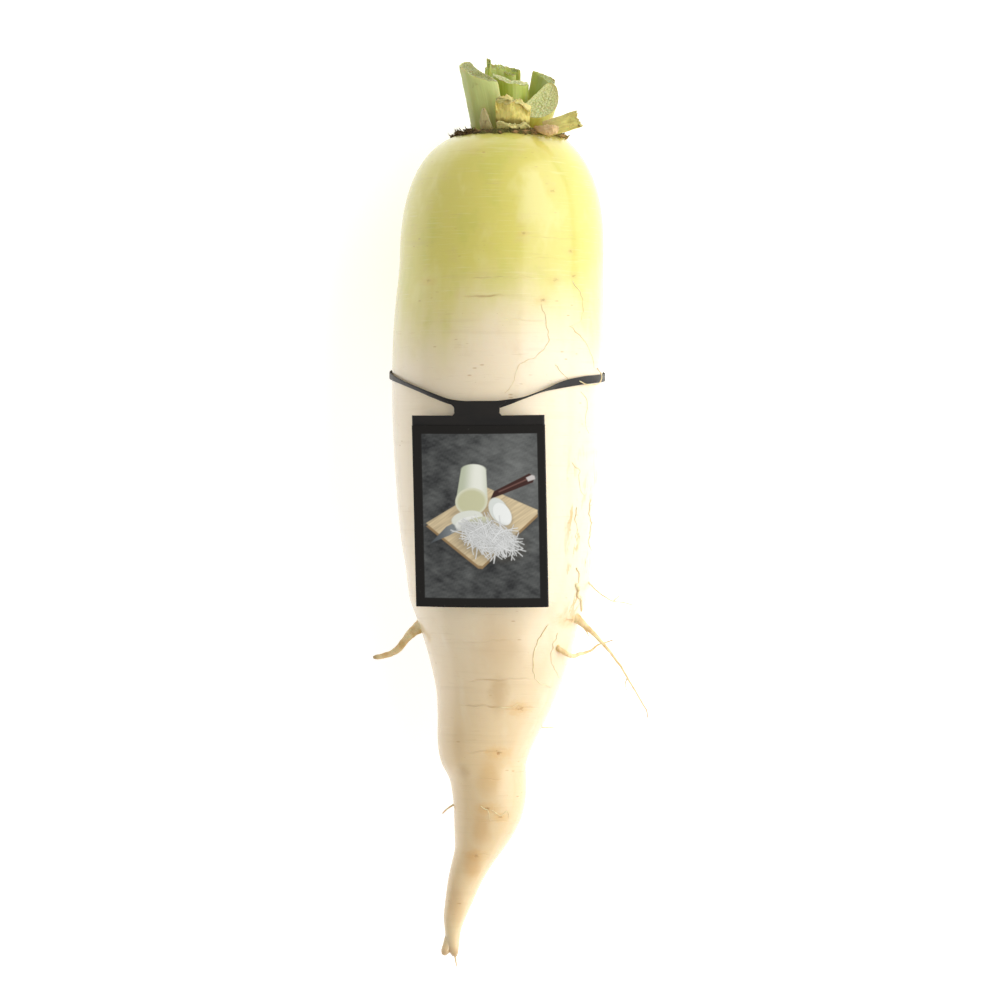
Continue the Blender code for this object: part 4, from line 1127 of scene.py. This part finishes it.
def film_finish():
    """Smooth black elastic film, with faint stretch lines along it."""
    paint = Paint("elastic_film", Coat_Weight=0.12, Coat_Roughness=0.3, Specular_IOR_Level=0.3)
    place = paint.place()
    fine = paint.noise(place, 0.6, detail=3)
    wide = paint.noise(place, 5, stretch=(3, 1, 1), detail=2, shift=4)
    colour = paint.mix(wide.rise(0.3, 0.7), tint(17, 15, 13), tint(28, 24, 20))
    return paint.finish(colour, 0.40 + fine * 0.12, fine * 0.03 + wide * 0.25)


# The loop's way round the root: angle (degrees), place along it, lift off the skin, twist (degrees), width, thickness.
LOOP_STATIONS = np.array(
    [
        (-13.2, 41.2, 0.9, 2, 3.2, 0.30),
        (-17.5, 41.7, 1.5, 4, 2.5, 0.45),
        (-24, 42.6, 2.0, 10, 2.0, 0.70),
        (-34, 44.9, 1.4, 20, 1.9, 0.75),
        (-46, 47.7, 0.9, 30, 1.9, 0.75),
        (-60, 50.4, 0.7, 24, 2.0, 0.70),
        (-75, 52.6, 0.6, 8, 2.4, 0.55),
        (-90, 53.9, 0.5, 0, 2.8, 0.42),
        (-112, 55.6, 0.3, 0, 3.2, 0.38),
        (-140, 57.0, 0.3, 0, 3.3, 0.36),
        (-165, 57.5, 0.25, 0, 3.3, 0.36),
        (-195, 57.5, 0.25, 0, 3.3, 0.36),
        (-220, 57.0, 0.3, 0, 3.3, 0.36),
        (-248, 55.0, 0.3, 0, 3.3, 0.36),
        (-270, 53.1, 0.5, 0, 3.0, 0.38),
        (-290, 52.1, 0.5, -4, 3.0, 0.38),
        (-310, 50.9, 0.6, 6, 3.1, 0.38),
        (-326, 48.9, 0.9, 30, 2.8, 0.42),
        (-338, 46.2, 1.5, 74, 1.8, 0.60),
        (-347, 43.9, 2.0, 70, 1.7, 0.65),
        (-355, 42.3, 1.8, 20, 2.3, 0.50),
        (-361.5, 41.2, 1.2, 2, 3.2, 0.30),
    ]
)


def loop_shell():
    """The film round the root: a flat oval section carried along the skin, turned by its twist."""
    steps = np.linspace(LOOP_STATIONS[0, 0], LOOP_STATIONS[-1, 0], 420)
    y, lift, twist, width, thickness = smooth_between(-steps, -LOOP_STATIONS[:, 0], LOOP_STATIONS[:, 1:]).T
    rows = np.stack(profile_at(y * MM), axis=-1)
    angle = np.radians(steps)
    middles = skin_points(rows, angle[:, None], ((lift + 0.3) * MM)[:, None])[:, 0]
    middles[:, 2] = np.maximum(middles[:, 2], 0.45 * MM)
    ways = unit(np.gradient(middles, axis=0))
    out = np.stack([np.sin(angle), 0 * angle, np.cos(angle)], axis=-1)
    out = unit(out - ways * np.sum(out * ways, axis=1)[:, None])
    side = np.cross(ways, out)
    turned = np.radians(twist)[:, None]
    flat_side = side * np.cos(turned) + out * np.sin(turned)
    flat_out = out * np.cos(turned) - side * np.sin(turned)
    round_way = np.arange(28) * TURN / 28
    wide, tall = (np.sign(wave) * np.abs(wave) ** 0.8 for wave in (np.cos(round_way), np.sin(round_way)))
    curl = 0.10 * np.cos(2 * round_way)
    return (
        middles[:, None]
        + (width / 2 * MM)[:, None, None] * wide[:, None] * flat_side[:, None]
        + (thickness / 2 * MM)[:, None, None] * (tall + curl)[:, None] * flat_out[:, None]
    )


def neck_half_width(up):
    """Half width of the film above the cards: the full header, a fillet, the neck, then a flare into the loop."""
    top = TAG_LENGTH / 2
    neck = 8.7 + 0.7 * smooth_step(top + 1.0, top, up) + 2.6 * smooth_step(top + 2.4, top + 5.4, up) ** 1.6
    return np.where(up < top, TAG_WIDTH / 2, neck)


def make_tag():
    """The printed front card, the plain back card, and the film with its header, neck and loop."""
    top = TAG_LENGTH / 2
    points, x, y = slab(TAG_WIDTH / 2, np.linspace(-top, CARD_TOP, 300), CARD_OFF, CARD_THICKNESS, PRINT_COLUMNS)
    ink = tag_print(x, y)
    ink[:, PRINT_COLUMNS:] = tint(*BLACK_INK)
    add_piece("tag_front_card_fine", [points], card_finish("printed_card"), "tag_card", ["tag_front_card"], ink=[ink])
    points, _, _ = slab(TAG_WIDTH / 2, np.linspace(-top, CARD_TOP, 80), -CARD_OFF, CARD_THICKNESS, 40)
    ink = np.broadcast_to(tint(*BLACK_INK), points.shape)
    add_piece("tag_back_card_fine", [points], card_finish("plain_card"), "tag_card", ["tag_back_card"], ink=[ink])

    ups = np.concatenate([np.linspace(top - 18, top - 0.001, 40), np.linspace(top + 0.001, top + 5.5, 50)])
    half = neck_half_width(ups)
    half = np.where(ups < top - TAG_HEADER - 1.5, TAG_WIDTH / 2 - 4, half)
    film, _, _ = slab(half, ups, 0.0, FILM_THICKNESS, 60)
    add_piece("elastic_film", [film, loop_shell()], film_finish(), "elastic_film", ["tag_elastic_loop"])


# ---------------------------------------------------------------- stage

CAMERA_HEIGHT = 1.54
CAMERA_PLACE = (-4.6 * MM, 5.8 * MM)
FIELD, FIELD_HEIGHT = 0.385, 0.040  # width of the view at the height of the root's axis
SENSOR = 36.0
KEY_PLACE, KEY_AIM, KEY_SIZE, KEY_POWER = (1.02, 0.35, 0.78), (0, 0.35, 0.04), (1.45, 2.6), 22.5
SKY_STRENGTH, FLOOR_WHITE, FLOOR_GLOW, FLOOR_REACH = 0.56, 0.93, 0.50, 4.0


def area_light(name, place, aim, size, power):
    """A rectangular soft light at a place, facing its aim."""
    light = bpy.data.lights.new(name, "AREA")
    light.shape = "RECTANGLE"
    light.size, light.size_y = size
    light.energy = power
    lamp = bpy.data.objects.new(name, light)
    bpy.context.scene.collection.objects.link(lamp)
    back = unit(np.array(place, float) - np.array(aim, float))
    right = unit(np.cross(np.array([0.0, 1.0, 0.0]), back))
    up = np.cross(back, right)
    turn = np.eye(4)
    turn[:3, 0], turn[:3, 1], turn[:3, 2], turn[:3, 3] = right, up, back, place
    lamp.matrix_world = Matrix(turn)


def make_stage():
    """A plain white floor, a large soft light on the right, and an even sky."""
    mesh = bpy.data.meshes.new("floor")
    corners = [(FLOOR_REACH * x, FLOOR_REACH * y, 0) for x, y in ((-1, -1), (1, -1), (1, 1), (-1, 1))]
    mesh.from_pydata(corners, [], [(0, 1, 2, 3)])
    floor = bpy.data.objects.new("floor", mesh)
    bpy.context.scene.collection.objects.link(floor)
    paint = Paint("white_floor", Roughness=0.9, Emission_Strength=FLOOR_GLOW)
    paint.shader.inputs["Base Color"].default_value = (FLOOR_WHITE, FLOOR_WHITE, FLOOR_WHITE, 1.0)
    paint.shader.inputs["Emission Color"].default_value = (1.0, 1.0, 1.0, 1.0)
    mesh.materials.append(paint.material)

    area_light("key_softbox", KEY_PLACE, KEY_AIM, KEY_SIZE, KEY_POWER)
    world = bpy.data.worlds.new("studio_sky")
    world.use_nodes = True
    world.node_tree.nodes["Background"].inputs["Color"].default_value = (1.0, 1.0, 1.0, 1.0)
    world.node_tree.nodes["Background"].inputs["Strength"].default_value = SKY_STRENGTH
    bpy.context.scene.world = world

    lens = bpy.data.cameras.new("camera")
    lens.sensor_width = SENSOR
    lens.lens = SENSOR * (CAMERA_HEIGHT - FIELD_HEIGHT) / FIELD
    lens.clip_end = 20
    camera = bpy.data.objects.new("camera", lens)
    camera.location = (*CAMERA_PLACE, CAMERA_HEIGHT)
    bpy.context.scene.collection.objects.link(camera)
    bpy.context.scene.camera = camera
    bpy.context.scene.view_settings.view_transform = "Standard"


make_stage()
make_root()
make_scar_ring()
make_crown()
make_tag()
